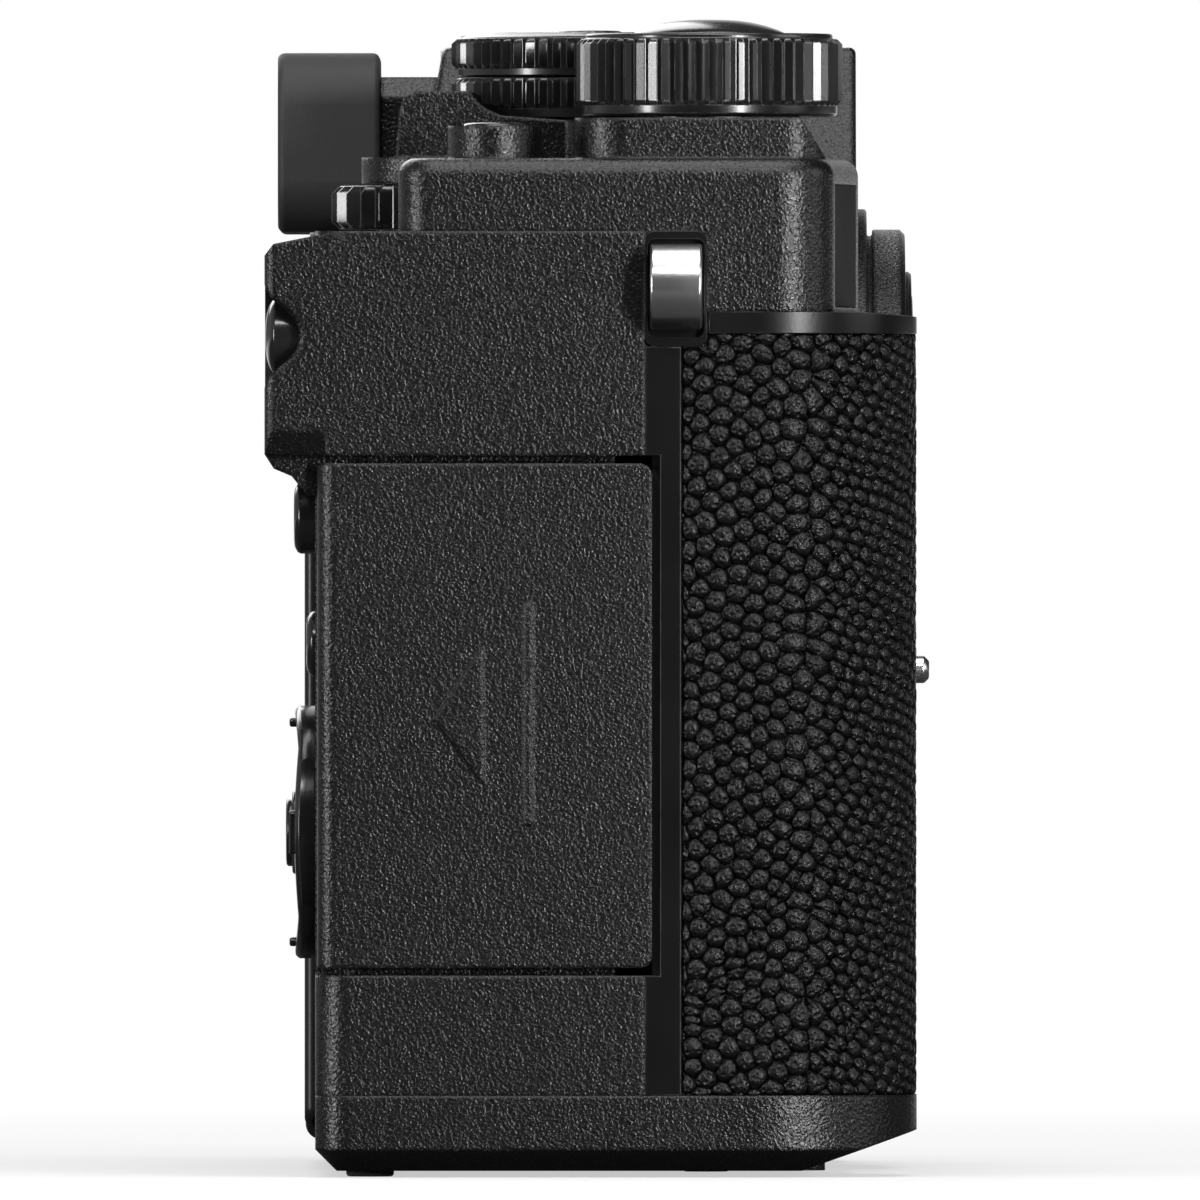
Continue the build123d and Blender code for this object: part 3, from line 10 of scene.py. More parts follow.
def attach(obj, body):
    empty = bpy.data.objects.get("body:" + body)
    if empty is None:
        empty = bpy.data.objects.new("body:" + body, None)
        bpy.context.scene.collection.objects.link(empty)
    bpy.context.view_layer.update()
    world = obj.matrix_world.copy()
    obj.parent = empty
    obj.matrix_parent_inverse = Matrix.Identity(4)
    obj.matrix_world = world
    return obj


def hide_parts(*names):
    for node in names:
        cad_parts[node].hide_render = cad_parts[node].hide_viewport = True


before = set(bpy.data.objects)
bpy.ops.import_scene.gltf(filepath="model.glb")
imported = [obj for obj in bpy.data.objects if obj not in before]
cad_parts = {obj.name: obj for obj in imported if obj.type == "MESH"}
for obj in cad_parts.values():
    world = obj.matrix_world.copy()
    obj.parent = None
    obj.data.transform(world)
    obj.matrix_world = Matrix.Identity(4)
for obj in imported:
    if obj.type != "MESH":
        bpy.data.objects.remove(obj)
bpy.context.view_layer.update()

# A mirrorless camera body. Pieces are shaped in millimetres and brought to metres when they are finished.
MM = 0.001
GRIP_END, LEFT_END = -75, 64  # the end walls
GRIP_FRONT, FRONT = -23.3, -18.8  # the leather's face on the grip and beside the mount
# Corners of the leather's track from above: x, y and radius
GRIP_EDGE, LEFT_EDGE = (GRIP_END, GRIP_FRONT, 12), (LEFT_END, FRONT, 9)
GRIP_TO_FRONT = ((-54, GRIP_FRONT, 6), (-43, FRONT, 6))
LEATHER_LOW, LEATHER_TOP = 5.86, 64.5
LENS_Z = 37.9
COLLAR_ROOM = 36.95  # radius of the room for the mount collar
FRONT_DIAL, MODE_DIAL, LEFT_DIAL = (-58.0, -7.28), (-36.6, 2.08), (44.5, -1.5)
PAD = (-46.0, 26.0)
EYECUP_Z = 79.7


# Selection and seating
def activate(piece):
    if bpy.context.object and bpy.context.object.mode != "OBJECT":
        bpy.ops.object.mode_set(mode="OBJECT")
    bpy.ops.object.select_all(action="DESELECT")
    piece.select_set(True)
    bpy.context.view_layer.objects.active = piece


def named(name):
    piece = bpy.context.object
    piece.name = name
    piece.data.name = name
    return piece


def edit(piece):
    activate(piece)
    bpy.ops.object.mode_set(mode="EDIT")
    return bmesh.from_edit_mesh(piece.data)


def edit_all(piece):
    edit(piece)
    bpy.ops.mesh.select_all(action="SELECT")


def done():
    bpy.ops.object.mode_set(mode="OBJECT")


def move_corners(piece, move):
    """Lets a function move the vertices of a piece, one by one."""
    form = edit(piece)
    for vertex in form.verts:
        move(vertex.co)
    bmesh.update_edit_mesh(piece.data)
    done()


def pick_faces(piece, test):
    """Selects the faces whose middle and normal pass the test, and stays in edit mode."""
    form = edit(piece)
    bpy.ops.mesh.select_mode(type="FACE")
    bpy.ops.mesh.select_all(action="DESELECT")
    for face in form.faces:
        face.select_set(test(face.calc_center_median(), face.normal))
    bmesh.update_edit_mesh(piece.data)


def pick_edges(piece, test):
    """Selects the edges whose middle and direction pass the test, and stays in edit mode."""
    form = edit(piece)
    bpy.ops.mesh.select_mode(type="EDGE")
    bpy.ops.mesh.select_all(action="DESELECT")
    for edge in form.edges:
        start, end = edge.verts[0].co, edge.verts[1].co
        edge.select_set(test((start + end) / 2, (end - start).normalized()))
    bmesh.update_edit_mesh(piece.data)


def apply_place(piece):
    activate(piece)
    bpy.ops.object.transform_apply(location=True, rotation=True, scale=True)


def outwards(piece):
    edit_all(piece)
    bpy.ops.mesh.remove_doubles(threshold=0.0005)
    bpy.ops.mesh.normals_make_consistent(inside=False)
    done()


def soften(piece, width, segments, limit=32):
    """Rounds every edge sharper than the limit, and marks the rounding, where the finish wears."""
    activate(piece)
    piece.data.materials.clear()
    for filler in (None, None):
        piece.data.materials.append(filler)
    rounding = piece.modifiers.new("edges", "BEVEL")
    rounding.material = 1
    rounding.width = width
    rounding.segments = segments
    rounding.limit_method = "ANGLE"
    rounding.angle_limit = math.radians(limit)
    bpy.ops.object.modifier_apply(modifier=rounding.name)
    worn = np.zeros(len(piece.data.polygons), dtype=np.int32)
    piece.data.polygons.foreach_get("material_index", worn)
    edge = piece.data.attributes.get("rounded_edge") or piece.data.attributes.new("rounded_edge", "FLOAT", "FACE")
    edge.data.foreach_set("value", worn.astype(np.float32))
    piece.data.polygons.foreach_set("material_index", np.zeros(len(worn), dtype=np.int32))
    bpy.ops.object.shade_smooth_by_angle(angle=math.radians(limit))
    for face in piece.data.polygons:
        if face.area > 20 and max(abs(part) for part in face.normal) > 0.99999:
            face.use_smooth = False
    flats = piece.modifiers.new("flats", "WEIGHTED_NORMAL")
    flats.keep_sharp = True
    bpy.ops.object.modifier_apply(modifier=flats.name)


def seat(piece, body, slot, *nodes, finish=None):
    """Brings a finished piece to metres, gives it its body and finish, and hides the solids it stands for."""
    apply_place(piece)
    piece.scale = (MM, MM, MM)
    bpy.ops.object.transform_apply(scale=True)
    piece.data.materials.clear()
    piece.data.materials.append(finishes[finish or slot])
    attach(piece, body)
    if nodes:
        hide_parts(*nodes)


def joined(name, pieces):
    for piece in pieces:
        apply_place(piece)
    activate(pieces[0])
    for piece in pieces[1:]:
        piece.select_set(True)
    bpy.ops.object.join()
    return named(name)


def copied(piece, name):
    twin = bpy.data.objects.new(name, piece.data.copy())
    twin.data.name = name
    bpy.context.collection.objects.link(twin)
    return twin


def cut(piece, tool, keep=False):
    activate(piece)
    knife = piece.modifiers.new("cut", "BOOLEAN")
    knife.object = tool
    knife.solver = "EXACT"
    bpy.ops.object.modifier_apply(modifier=knife.name)
    if not keep:
        bpy.data.objects.remove(tool, do_unlink=True)


# Starting shapes
def block(name, x0, x1, y0, y1, z0, z1):
    bpy.ops.object.select_all(action="DESELECT")
    middle = ((x0 + x1) / 2, (y0 + y1) / 2, (z0 + z1) / 2)
    bpy.ops.mesh.primitive_cube_add(size=1, location=middle)
    piece = named(name)
    piece.scale = (x1 - x0, y1 - y0, z1 - z0)
    apply_place(piece)
    return piece


def round_block(piece, axis, radius, segments):
    """Rounds the four edges of a block that run along one axis."""
    pick_edges(piece, lambda middle, way: abs(way[axis]) > 0.99)
    bpy.ops.mesh.bevel(offset=radius, segments=segments, affect="EDGES")
    done()


def slab(name, points, step):
    """A plate: one vertex extruded from point to point, filled, then pulled out by one step."""
    bpy.ops.object.select_all(action="DESELECT")
    bpy.ops.mesh.primitive_plane_add(size=1, location=points[0])
    piece = named(name)
    edit_all(piece)
    bpy.ops.mesh.select_mode(type="VERT")
    bpy.ops.mesh.merge(type="CENTER")
    for start, end in zip(points, points[1:]):
        bpy.ops.mesh.extrude_region_move(TRANSFORM_OT_translate={"value": Vector(end) - Vector(start)})
    done()
    apply_place(piece)
    edit_all(piece)
    bpy.ops.mesh.edge_face_add()
    bpy.ops.mesh.extrude_region_move(TRANSFORM_OT_translate={"value": step})
    done()
    outwards(piece)
    return piece


def turned(name, profile, x, y, vertices, ring=False):
    """A solid turned about +Z: a disc, or a ring's open circle, extruded and scaled along the profile."""
    bpy.ops.object.select_all(action="DESELECT")
    radius, height = profile[0]
    fill = "NOTHING" if ring else "NGON"
    bpy.ops.mesh.primitive_circle_add(vertices=vertices, radius=radius, fill_type=fill, location=(x, y, height))
    piece = named(name)
    apply_place(piece)
    edit(piece)
    bpy.ops.mesh.select_mode(type="EDGE" if ring else "FACE")
    bpy.ops.mesh.select_all(action="SELECT")
    for (r0, z0), (r1, z1) in zip(profile, profile[1:] + (profile[:1] if ring else [])):
        bpy.ops.mesh.extrude_region_move(TRANSFORM_OT_translate={"value": (0, 0, z1 - z0)})
        if r1 != r0:
            bpy.ops.transform.resize(value=(r1 / r0, r1 / r0, 1), center_override=(x, y, z1))
    done()
    outwards(piece)
    return piece


def face_rear(piece, x, z):
    """Lays a solid turned about +Z along +Y, on the axis through x and z."""
    piece.rotation_euler = (-math.pi / 2, 0, 0)
    piece.location = (x, 0, z)
    apply_place(piece)


def ridged_wheel(name, x, y, radius, depth, ridges, low, high, lead, below, above):
    """A knurled wheel. Every second vertex of its rim is drawn in, and the ridges run out in arrow tips."""
    tip = radius - depth * 0.9
    profile = below + [(tip, low), (radius, low + lead), (radius, high - lead), (tip, high)] + above
    piece = turned(name, profile, x, y, ridges * 2)
    form = edit(piece)
    bpy.ops.mesh.select_mode(type="VERT")
    bpy.ops.mesh.select_all(action="DESELECT")
    for vertex in form.verts:
        dx, dy = vertex.co.x - x, vertex.co.y - y
        turn = round(math.atan2(dy, dx) / (math.pi / ridges))
        on_rim = abs(math.hypot(dx, dy) - radius) < 0.01
        vertex.select_set(on_rim and turn % 2 == 0)
    bmesh.update_edit_mesh(piece.data)
    inwards = (radius - depth) / radius
    bpy.ops.transform.resize(value=(inwards, inwards, 1), center_override=(x, y, 0))
    done()
    return piece


def dressed(solid, name, width, segments, limit=24, rooms=()):
    """A merged copy of a solid whose shape is right, with its edges eased as on the casting."""
    piece = copied(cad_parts[solid], name)
    edit_all(piece)
    bpy.ops.transform.resize(value=(1 / MM, 1 / MM, 1 / MM), center_override=(0, 0, 0))
    bpy.ops.mesh.remove_doubles(threshold=0.002)
    bpy.ops.mesh.dissolve_limited(angle_limit=0.005)
    done()
    for room in rooms:
        cut(piece, block("room", *room))
    soften(piece, width, segments, limit)
    return piece


# Shader nodes, and groups shared by the finishes
def feed(tree, socket, value):
    """Gives a socket its value, or the socket that feeds it."""
    if isinstance(value, bpy.types.NodeSocket):
        tree.links.new(value, socket)
    else:
        socket.default_value = value


def node(tree, kind, inputs=(), **settings):
    made = tree.nodes.new(kind)
    for key, value in settings.items():
        setattr(made, key, value)
    for key, value in dict(inputs).items():
        feed(tree, made.inputs[key], value)
    return made


def reckon(tree, operation, first, second, clamp=False):
    return node(tree, "ShaderNodeMath", {0: first, 1: second}, operation=operation, use_clamp=clamp).outputs[0]


def blend_colour(tree, factor, first, second):
    return node(tree, "ShaderNodeMix", {0: factor, 6: first, 7: second}, data_type="RGBA").outputs[2]


def noise(tree, vector, scale, detail=2.0, rough=0.5):
    inputs = {"Vector": vector, "Scale": scale, "Detail": detail, "Roughness": rough}
    return node(tree, "ShaderNodeTexNoise", inputs).outputs


def spread(tree, value, low, high, to_low=0.0, to_high=1.0):
    return node(tree, "ShaderNodeMapRange", {0: value, 1: low, 2: high, 3: to_low, 4: to_high}).outputs[0]


def mark(tree, name):
    return node(tree, "ShaderNodeAttribute", attribute_name=name).outputs["Fac"]


def own_place(tree):
    return node(tree, "ShaderNodeTexCoord").outputs["Object"]


def new_group(name, inputs, outputs):
    """An empty group, with its inner inputs and outputs. A value's form gives the kind of each input."""
    group = bpy.data.node_groups.new(name, "ShaderNodeTree")
    for label, value in inputs.items():
        kind = "Float" if isinstance(value, float) else "Color" if value else "Vector"
        socket = group.interface.new_socket(label, in_out="INPUT", socket_type="NodeSocket" + kind)
        if value:
            socket.default_value = value
    for label in outputs:
        kind = "Color" if label == "Colour" else "Float"
        group.interface.new_socket(label, in_out="OUTPUT", socket_type="NodeSocket" + kind)
    return group, group.nodes.new("NodeGroupInput").outputs, group.nodes.new("NodeGroupOutput").inputs


def make_worn_surface():
    """Mottled colour, paler worn edges and an uneven sheen."""
    group, given, out = new_group(
        "worn surface",
        {"Colour": (0.02, 0.02, 0.02, 1), "Worn colour": (0.3, 0.3, 0.3, 1), "Wear": 0.3, "Mottle": 0.2,
         "Grain scale": 3000.0, "Roughness": 0.4, "Unevenness": 0.1},
        ("Colour", "Roughness", "Height"),
    )
    place = own_place(group)
    grain = noise(group, place, given["Grain scale"], 3.0, 0.6)[0]
    cloud = reckon(group, "SUBTRACT", noise(group, place, 85.0, 3.0, 0.55)[0], 0.5)
    mottle = reckon(group, "MULTIPLY", reckon(group, "SUBTRACT", grain, 0.5), given["Mottle"])
    drift = reckon(group, "ADD", reckon(group, "MULTIPLY", cloud, 0.2), 1.0)
    shade = reckon(group, "ADD", reckon(group, "MULTIPLY", mottle, 2.0), drift)
    tone = node(group, "ShaderNodeVectorMath", {0: given["Colour"], "Scale": shade}, operation="SCALE").outputs[0]
    chips = spread(group, noise(group, place, 520.0, 5.0, 0.7)[0], 0.4, 0.75)
    mask = reckon(group, "MULTIPLY", reckon(group, "MULTIPLY", mark(group, "rounded_edge"), chips), given["Wear"], True)
    feed(group, out["Colour"], blend_colour(group, mask, tone, given["Worn colour"]))
    uneven = reckon(group, "MULTIPLY", reckon(group, "MULTIPLY", cloud, given["Unevenness"]), 2.0)
    feed(group, out["Roughness"], reckon(group, "ADD", given["Roughness"], uneven, True))
    feed(group, out["Height"], grain)
    return group


def make_crinkle():
    """Crinkle paint: small rounded lumps with wandering furrows between them. Its crest output marks the lump tops,
    where the finish paints a highlight.
    """
    group, given, out = new_group("crinkle paint", {"Scale": 3000.0, "Wander": 0.6}, ("Height", "Crest highlight"))
    place = own_place(group)
    scale = given["Scale"]
    wander = noise(group, place, reckon(group, "MULTIPLY", scale, 0.6), 1.0)[1]
    bend = reckon(group, "MULTIPLY", reckon(group, "DIVIDE", given["Wander"], scale), 2.0)
    shift = node(group, "ShaderNodeVectorMath", {0: wander, "Scale": bend}, operation="SCALE").outputs[0]
    moved = node(group, "ShaderNodeVectorMath", {0: place, 1: shift}, operation="ADD").outputs[0]
    cells = node(group, "ShaderNodeTexVoronoi", {"Vector": moved, "Scale": scale}, feature="SMOOTH_F1")
    feed(group, cells.inputs["Smoothness"], 0.6)
    lumps = reckon(group, "SUBTRACT", 1.0, cells.outputs["Distance"])
    fine = noise(group, moved, reckon(group, "MULTIPLY", scale, 1.7), 2.0, 0.6)[0]
    height = reckon(group, "ADD", reckon(group, "MULTIPLY", lumps, 0.8), reckon(group, "MULTIPLY", fine, 0.6))
    feed(group, out["Height"], height)
    # The highest lump tops, squared: the mask for the highlight painted on the lumps.
    crest_highlight = spread(group, height, 0.7, 1.0)
    feed(group, out["Crest highlight"], reckon(group, "MULTIPLY", crest_highlight, crest_highlight))
    return group


def make_turning_marks():
    """Fine rings left by a lathe round the Z axis of the vector it is given."""
    group, given, out = new_group("turning marks", {"Vector": None, "Rings": 9000.0}, ("Height",))
    flat = node(group, "ShaderNodeVectorMath", {0: given["Vector"], 1: (1, 1, 0)}, operation="MULTIPLY").outputs[0]
    reach = node(group, "ShaderNodeVectorMath", {0: flat}, operation="LENGTH").outputs["Value"]
    height = node(group, "ShaderNodeSeparateXYZ", {0: given["Vector"]}).outputs[2]
    along = reckon(group, "MULTIPLY", reckon(group, "ADD", reach, height), given["Rings"])
    lines = node(group, "ShaderNodeTexNoise", noise_dimensions="1D")
    for name, value in (("W", along), ("Scale", 1.0), ("Detail", 2.0)):
        feed(group, lines.inputs[name], value)
    feed(group, out["Height"], lines.outputs[0])
    return group


WORN = make_worn_surface()
CRINKLE = make_crinkle()
TURNING = make_turning_marks()


# Finishes
def use_group(tree, group, **values):
    return node(tree, "ShaderNodeGroup", {key.replace("_", " "): value for key, value in values.items()},
                node_tree=group)


def plain_finish(name, colour, rough, metal=0.0, worn=(0.25, 0.25, 0.25), wear=0.25, mottle=0.25, grain=3000.0,
                 uneven=0.08, bump=0.00001, specular=0.5, coat=0.0, ease=0.0):
    """A finish with mottle, grain, worn edges and uneven sheen. Returns its material, shader and bump."""
    finish = bpy.data.materials.new(name)
    finish.use_nodes = True
    tree = finish.node_tree
    surface = use_group(tree, WORN, Colour=(*colour, 1), Worn_colour=(*worn, 1), Wear=wear, Mottle=mottle,
                        Grain_scale=grain, Roughness=rough, Unevenness=uneven).outputs
    relief = node(tree, "ShaderNodeBump", {"Strength": 1.0, "Distance": bump, "Height": surface["Height"]})
    if ease:
        edge = node(tree, "ShaderNodeBevel", {"Radius": ease}, samples=4)
        feed(tree, relief.inputs["Normal"], edge.outputs[0])
    shader = tree.nodes["Principled BSDF"]
    for socket, value in {
        "Base Color": surface["Colour"], "Roughness": surface["Roughness"], "Metallic": metal,
        "Specular IOR Level": specular, "Coat Weight": coat, "Coat Roughness": 0.12, "Normal": relief.outputs["Normal"],
    }.items():
        feed(tree, shader.inputs[socket], value)
    return finish, shader, relief


def crinkle_finish(name, rough):
    finish, shader, relief = plain_finish(
        name, PAINT, rough, wear=0.2, mottle=0.1, bump=0.000052, uneven=0.06, ease=0.0004
    )
    tree = finish.node_tree
    lumps = use_group(tree, CRINKLE, Scale=4200.0).outputs
    feed(tree, relief.inputs["Height"], lumps["Height"])
    base = shader.inputs["Base Color"].links[0].from_socket
    # The lump tops are painted paler: a painted highlight that stands in for the lamps' glints, with the furrows left
    # darker as painted shade. The same mask also makes the tops glossier.
    paler = tuple(3.0 * part for part in PAINT) + (1,)
    feed(tree, shader.inputs["Base Color"], blend_colour(tree, lumps["Crest highlight"], base, paler))
    feed(tree, shader.inputs["Roughness"], spread(tree, lumps["Crest highlight"], 0.0, 0.5, rough + 0.08, rough))
    return finish


def turned_finish(name, colour, rough, centre, turn, rings, bump, **more):
    """A finish with lathe marks round an axis through the centre."""
    finish, shader, relief = plain_finish(name, colour, rough, bump=bump, **more)
    tree = finish.node_tree
    spot = [part * MM for part in centre]
    mapping = node(tree, "ShaderNodeMapping", {"Vector": own_place(tree), "Location": spot, "Rotation": turn},
                   vector_type="TEXTURE")
    marks = use_group(tree, TURNING, Vector=mapping.outputs[0], Rings=rings)
    feed(tree, relief.inputs["Height"], marks.outputs["Height"])
    return finish


def leather_finish():
    """Pebbled synthetic leather: furrows darkened as painted shade, scale tops in random paler tones, and fine pits."""
    finish, shader, relief = plain_finish(
        "leatherette", (0.002, 0.002, 0.0022), 0.34, wear=0.0, mottle=0.3, grain=2600.0, bump=0.00008, specular=0.28
    )
    tree = finish.node_tree
    base = shader.inputs["Base Color"].links[0].from_socket
    tone = reckon(tree, "MULTIPLY", mark(tree, "scale_tone"), 0.5)
    paler = blend_colour(tree, tone, base, (0.007, 0.007, 0.0073, 1))
    # The furrows between the scales are painted near black: painted shade in the creases, darker than the leather's own
    # colour.
    dark = spread(tree, mark(tree, "furrow"), 0.05, 0.6, 1.0, 0.0)
    feed(tree, shader.inputs["Base Color"], blend_colour(tree, dark, paler, (0.0006, 0.0006, 0.0006, 1)))
    place = own_place(tree)
    pits = node(tree, "ShaderNodeTexVoronoi", {"Scale": 2300.0, "Vector": place}).outputs["Distance"]
    height = reckon(tree, "ADD", spread(tree, pits, 0.1, 0.5), noise(tree, place, 4200.0)[0])
    feed(tree, relief.inputs["Height"], height)
    return finish


def glass_finish(name, tint, rough):
    finish, shader, relief = plain_finish(name, tint, rough, wear=0.0, mottle=0.02, uneven=0.02, bump=0.0000005)
    for socket, value in (("Transmission Weight", 1.0), ("IOR", 1.5), ("Coat Weight", 0.6),
                          ("Coat Tint", (0.55, 0.7, 0.95, 1))):
        shader.inputs[socket].default_value = value
    return finish


def dial_finish(name, x, y):
    if name not in finishes:
        finishes[name] = turned_finish(
            name, (0.007, 0.007, 0.0075), 0.22, (x, y, 0), (0, 0, 0), 8200.0, 0.000003,
            worn=(0.12, 0.12, 0.125), wear=0.5, mottle=0.15, coat=0.15,
        )
    return name


PAINT = (0.0016, 0.0016, 0.0018)
# Colour, roughness, and what differs from the usual plain finish
PLAIN = {
    "satin_trim": ((0.0018, 0.0018, 0.002), 0.3,
                   dict(mottle=0.35, grain=5200.0, bump=0.000006, specular=0.3, wear=0.15)),
    "spring_steel": ((0.5, 0.48, 0.45), 0.35, dict(metal=1.0, mottle=0.15)),
    "lug_chrome": ((0.62, 0.62, 0.63), 0.24,
                   dict(metal=1.0, worn=(0.85, 0.85, 0.86), mottle=0.08, bump=0.000002, uneven=0.1)),
    "screw_steel": ((0.42, 0.41, 0.4), 0.3, dict(metal=1.0, mottle=0.15, grain=5000.0)),
    "shoe_steel": ((0.36, 0.36, 0.37), 0.34, dict(metal=1.0, mottle=0.12, grain=4000.0)),
    "socket_metal": ((0.55, 0.54, 0.52), 0.3, dict(metal=1.0, mottle=0.1)),
    "inner_alloy": ((0.3, 0.3, 0.31), 0.45, dict(metal=1.0, mottle=0.2)),
    "bracket_steel": ((0.03, 0.03, 0.031), 0.4, dict(metal=0.6, mottle=0.2)),
    "gold_contacts": ((0.83, 0.6, 0.28), 0.25, dict(metal=1.0, worn=(0.9, 0.75, 0.5))),
    "black_plastic": ((0.012, 0.012, 0.012), 0.5, dict(mottle=0.3, grain=4200.0)),
    "button_black": ((0.011, 0.011, 0.012), 0.2, dict(mottle=0.2, bump=0.000003, coat=0.25)),
    "badge_black": ((0.004, 0.004, 0.0042), 0.5, dict(mottle=0.3, wear=0.1, specular=0.05)),
    "foot_rubber": ((0.018, 0.018, 0.018), 0.75, dict(mottle=0.4, grain=5200.0, bump=0.00002)),
    "eyecup_rubber": ((0.03, 0.031, 0.03), 0.62,
                      dict(worn=(0.07, 0.07, 0.07), mottle=0.3, grain=6200.0, bump=0.000012, specular=0.4)),
    "port_rubber": ((0.016, 0.016, 0.016), 0.66, dict(mottle=0.35, grain=5200.0, bump=0.00002)),
    "monitor_black_glass": ((0.004, 0.004, 0.005), 0.06,
                            dict(wear=0.0, mottle=0.05, bump=0.0000004, uneven=0.03, coat=0.5)),
    "monitor_case": ((0.012, 0.012, 0.0125), 0.36, dict(mottle=0.3, grain=5000.0, bump=0.000006, specular=0.4)),
    "sensor_frame": ((0.02, 0.02, 0.022), 0.45, dict(mottle=0.2)),
    "blade_black": ((0.01, 0.01, 0.01), 0.55, dict(mottle=0.2, specular=0.3)),
    "board_green": ((0.01, 0.09, 0.035), 0.4, dict(mottle=0.3)),
    "battery_case": ((0.03, 0.03, 0.034), 0.5, dict(mottle=0.2)),
    "figure_paint": ((0.72, 0.72, 0.7), 0.5, dict(mottle=0.1, wear=0.0)),
}
finishes = {name: plain_finish(name, colour, rough, **more)[0] for name, (colour, rough, more) in PLAIN.items()}
for label, sheen in (("cover_crinkle", 0.2), ("cover_casting", 0.21), ("collar_paint", 0.2)):
    finishes[label] = crinkle_finish(label, sheen)
finishes["leatherette"] = leather_finish()
finishes["coated_glass"] = glass_finish("coated_glass", (0.94, 0.97, 1.0), 0.03)
finishes["mount_steel"] = turned_finish(
    "mount_steel", (0.62, 0.61, 0.59), 0.27, (0, 0, LENS_Z), (math.pi / 2, 0, 0), 16000.0, 0.0000025,
    metal=1.0, worn=(0.8, 0.79, 0.77), mottle=0.06,
)


# Covers and trims taken from solids of the right shape
def dress_shells():
    # solid, piece, body, slot, width and steps of the rounding
    rows = (
        ("top_cover", "top_cover_casting", "root", "cover_crinkle", 0.3, 3),
        ("rear_cover", "rear_cover_casting", "root", "cover_crinkle", 0.3, 3),
        ("front_cover", "front_cover_casting", "root", "cover_casting", 0.15, 2),
        ("base_plate", "base_plate_casting", "root", "cover_crinkle", 0.22, 2),
        ("lug_seats", "lug_seat_cups", "root", "satin_trim", 0.15, 2),
        ("monitor_shell", "monitor_case_shell", "monitor", "monitor_case", 0.25, 3),
        ("monitor_glass", "monitor_pane", "monitor", "monitor_black_glass", 0.2, 2),
        ("monitor_bracket", "monitor_tilt_plate", "monitor_bracket", "bracket_steel", 0.1, 2),
        ("hot_shoe", "shoe_rails", "root", "shoe_steel", 0.14, 2),
        ("eyepiece_frame", "eyepiece_surround", "root", "black_plastic", 0.12, 2),
        ("battery_door", "battery_door_plate", "battery_door", "cover_casting", 0.14, 2),
        ("battery_latch", "battery_latch_key", "battery_latch", "black_plastic", 0.1, 2),
        ("port_cover", "port_flap", "port_cover", "port_rubber", 0.25, 3),
        ("feet", "base_feet", "root", "foot_rubber", 0.12, 2),
        ("power_lever", "switch_lever", "power_lever", "dial_metal", 0.15, 2),
        ("bayonet_ring", "bayonet_face", "root", "mount_steel", 0.12, 2),
        ("lock_pin", "lock_pin_tip", "lens_release", "spring_steel", 0.1, 2),
        ("release_button", "release_key", "lens_release", "button_black", 0.3, 3),
        ("contact_pins", "contact_pin_set", "root", "gold_contacts", 0.1, 2),
        ("tripod_socket", "tripod_bush", "root", "socket_metal", 0.15, 2),
    )
    other_finish = {"power_lever": "satin_trim", "lock_pin": "lug_chrome"}
    rooms = {
        "rear_cover": ((-76, -73.42, -3.45, 24, 15.05, 55.1), (-76, -72.2, -3.45, 20.4, 54.55, 55.1),
                       (-76, -72.2, -3.45, 20.4, 15.05, 15.6)),
        "hot_shoe": ((-12, 12, 12.0, 15, 86.9, 90),),
    }
    for source, name, body, slot, width, segments in rows:
        shell = dressed(source, name, width, segments, 18, rooms.get(source, ()))
        seat(shell, body, slot, source, finish=other_finish.get(source))


# Leatherette
def rounded_way(points, step):
    """Points along a line with rounded corners. Each corner is (x, y, radius)."""
    way = [Vector(points[0][:2])]
    for before, corner, after in zip(points, points[1:], points[2:]):
        here = Vector(corner[:2])
        back = (Vector(before[:2]) - here).normalized()
        ahead = (Vector(after[:2]) - here).normalized()
        half = back.angle(ahead) / 2
        reach = corner[2] / math.tan(half)
        centre = here + (back + ahead).normalized() * (corner[2] / math.sin(half))
        start = here + back * reach - centre
        sweep = math.pi - 2 * half
        side = 1 if back.x * ahead.y - back.y * ahead.x < 0 else -1
        count = max(2, int(sweep * corner[2] / step))
        way += [centre + Matrix.Rotation(side * sweep * n / count, 2) @ start for n in range(count + 1)]
    way.append(Vector(points[-1][:2]))
    dense = [way[0]]
    for start, end in zip(way, way[1:]):
        count = max(1, round((end - start).length / step))
        dense += [start.lerp(end, n / count) for n in range(1, count + 1)]
    return dense


def scale_centres(length, low, high):
    """Centres of the leather scales on the flat wrap: rows fall to the grip's corner, then climb as ropes."""
    centres = []
    chance = np.random.RandomState(11)
    for start, end, turn, long, tall in ((-4, 10.1, -36, 1.62, 1.4), (10.1, 31, 55, 1.12, 1.42),
                                         (31, length + 4, 24, 1.75, 1.55)):
        reach = length + high
        row, column = [side.ravel() for side in np.meshgrid(np.arange(-reach / tall, reach / tall).astype(int),
                                                            np.arange(-reach / long, reach / long).astype(int))]
        luck = chance.rand(2, len(row)) - 0.5
        along = (column + 0.5 * (row % 2) + 0.46 * luck[0]) * long
        across = (row + 0.26 * luck[1]) * tall + 0.35 * np.sin(along * 0.45)
        angle = math.radians(turn)
        u = start + along * math.cos(angle) - across * math.sin(angle)
        z = low + along * math.sin(angle) + across * math.cos(angle)
        inside = (u > start + 0.4) & (u <= end - 0.4) & (z > low - 4) & (z < high + 4)
        centres += [Vector(pair) for pair in np.stack([u, z], axis=1)[inside]]
    return centres


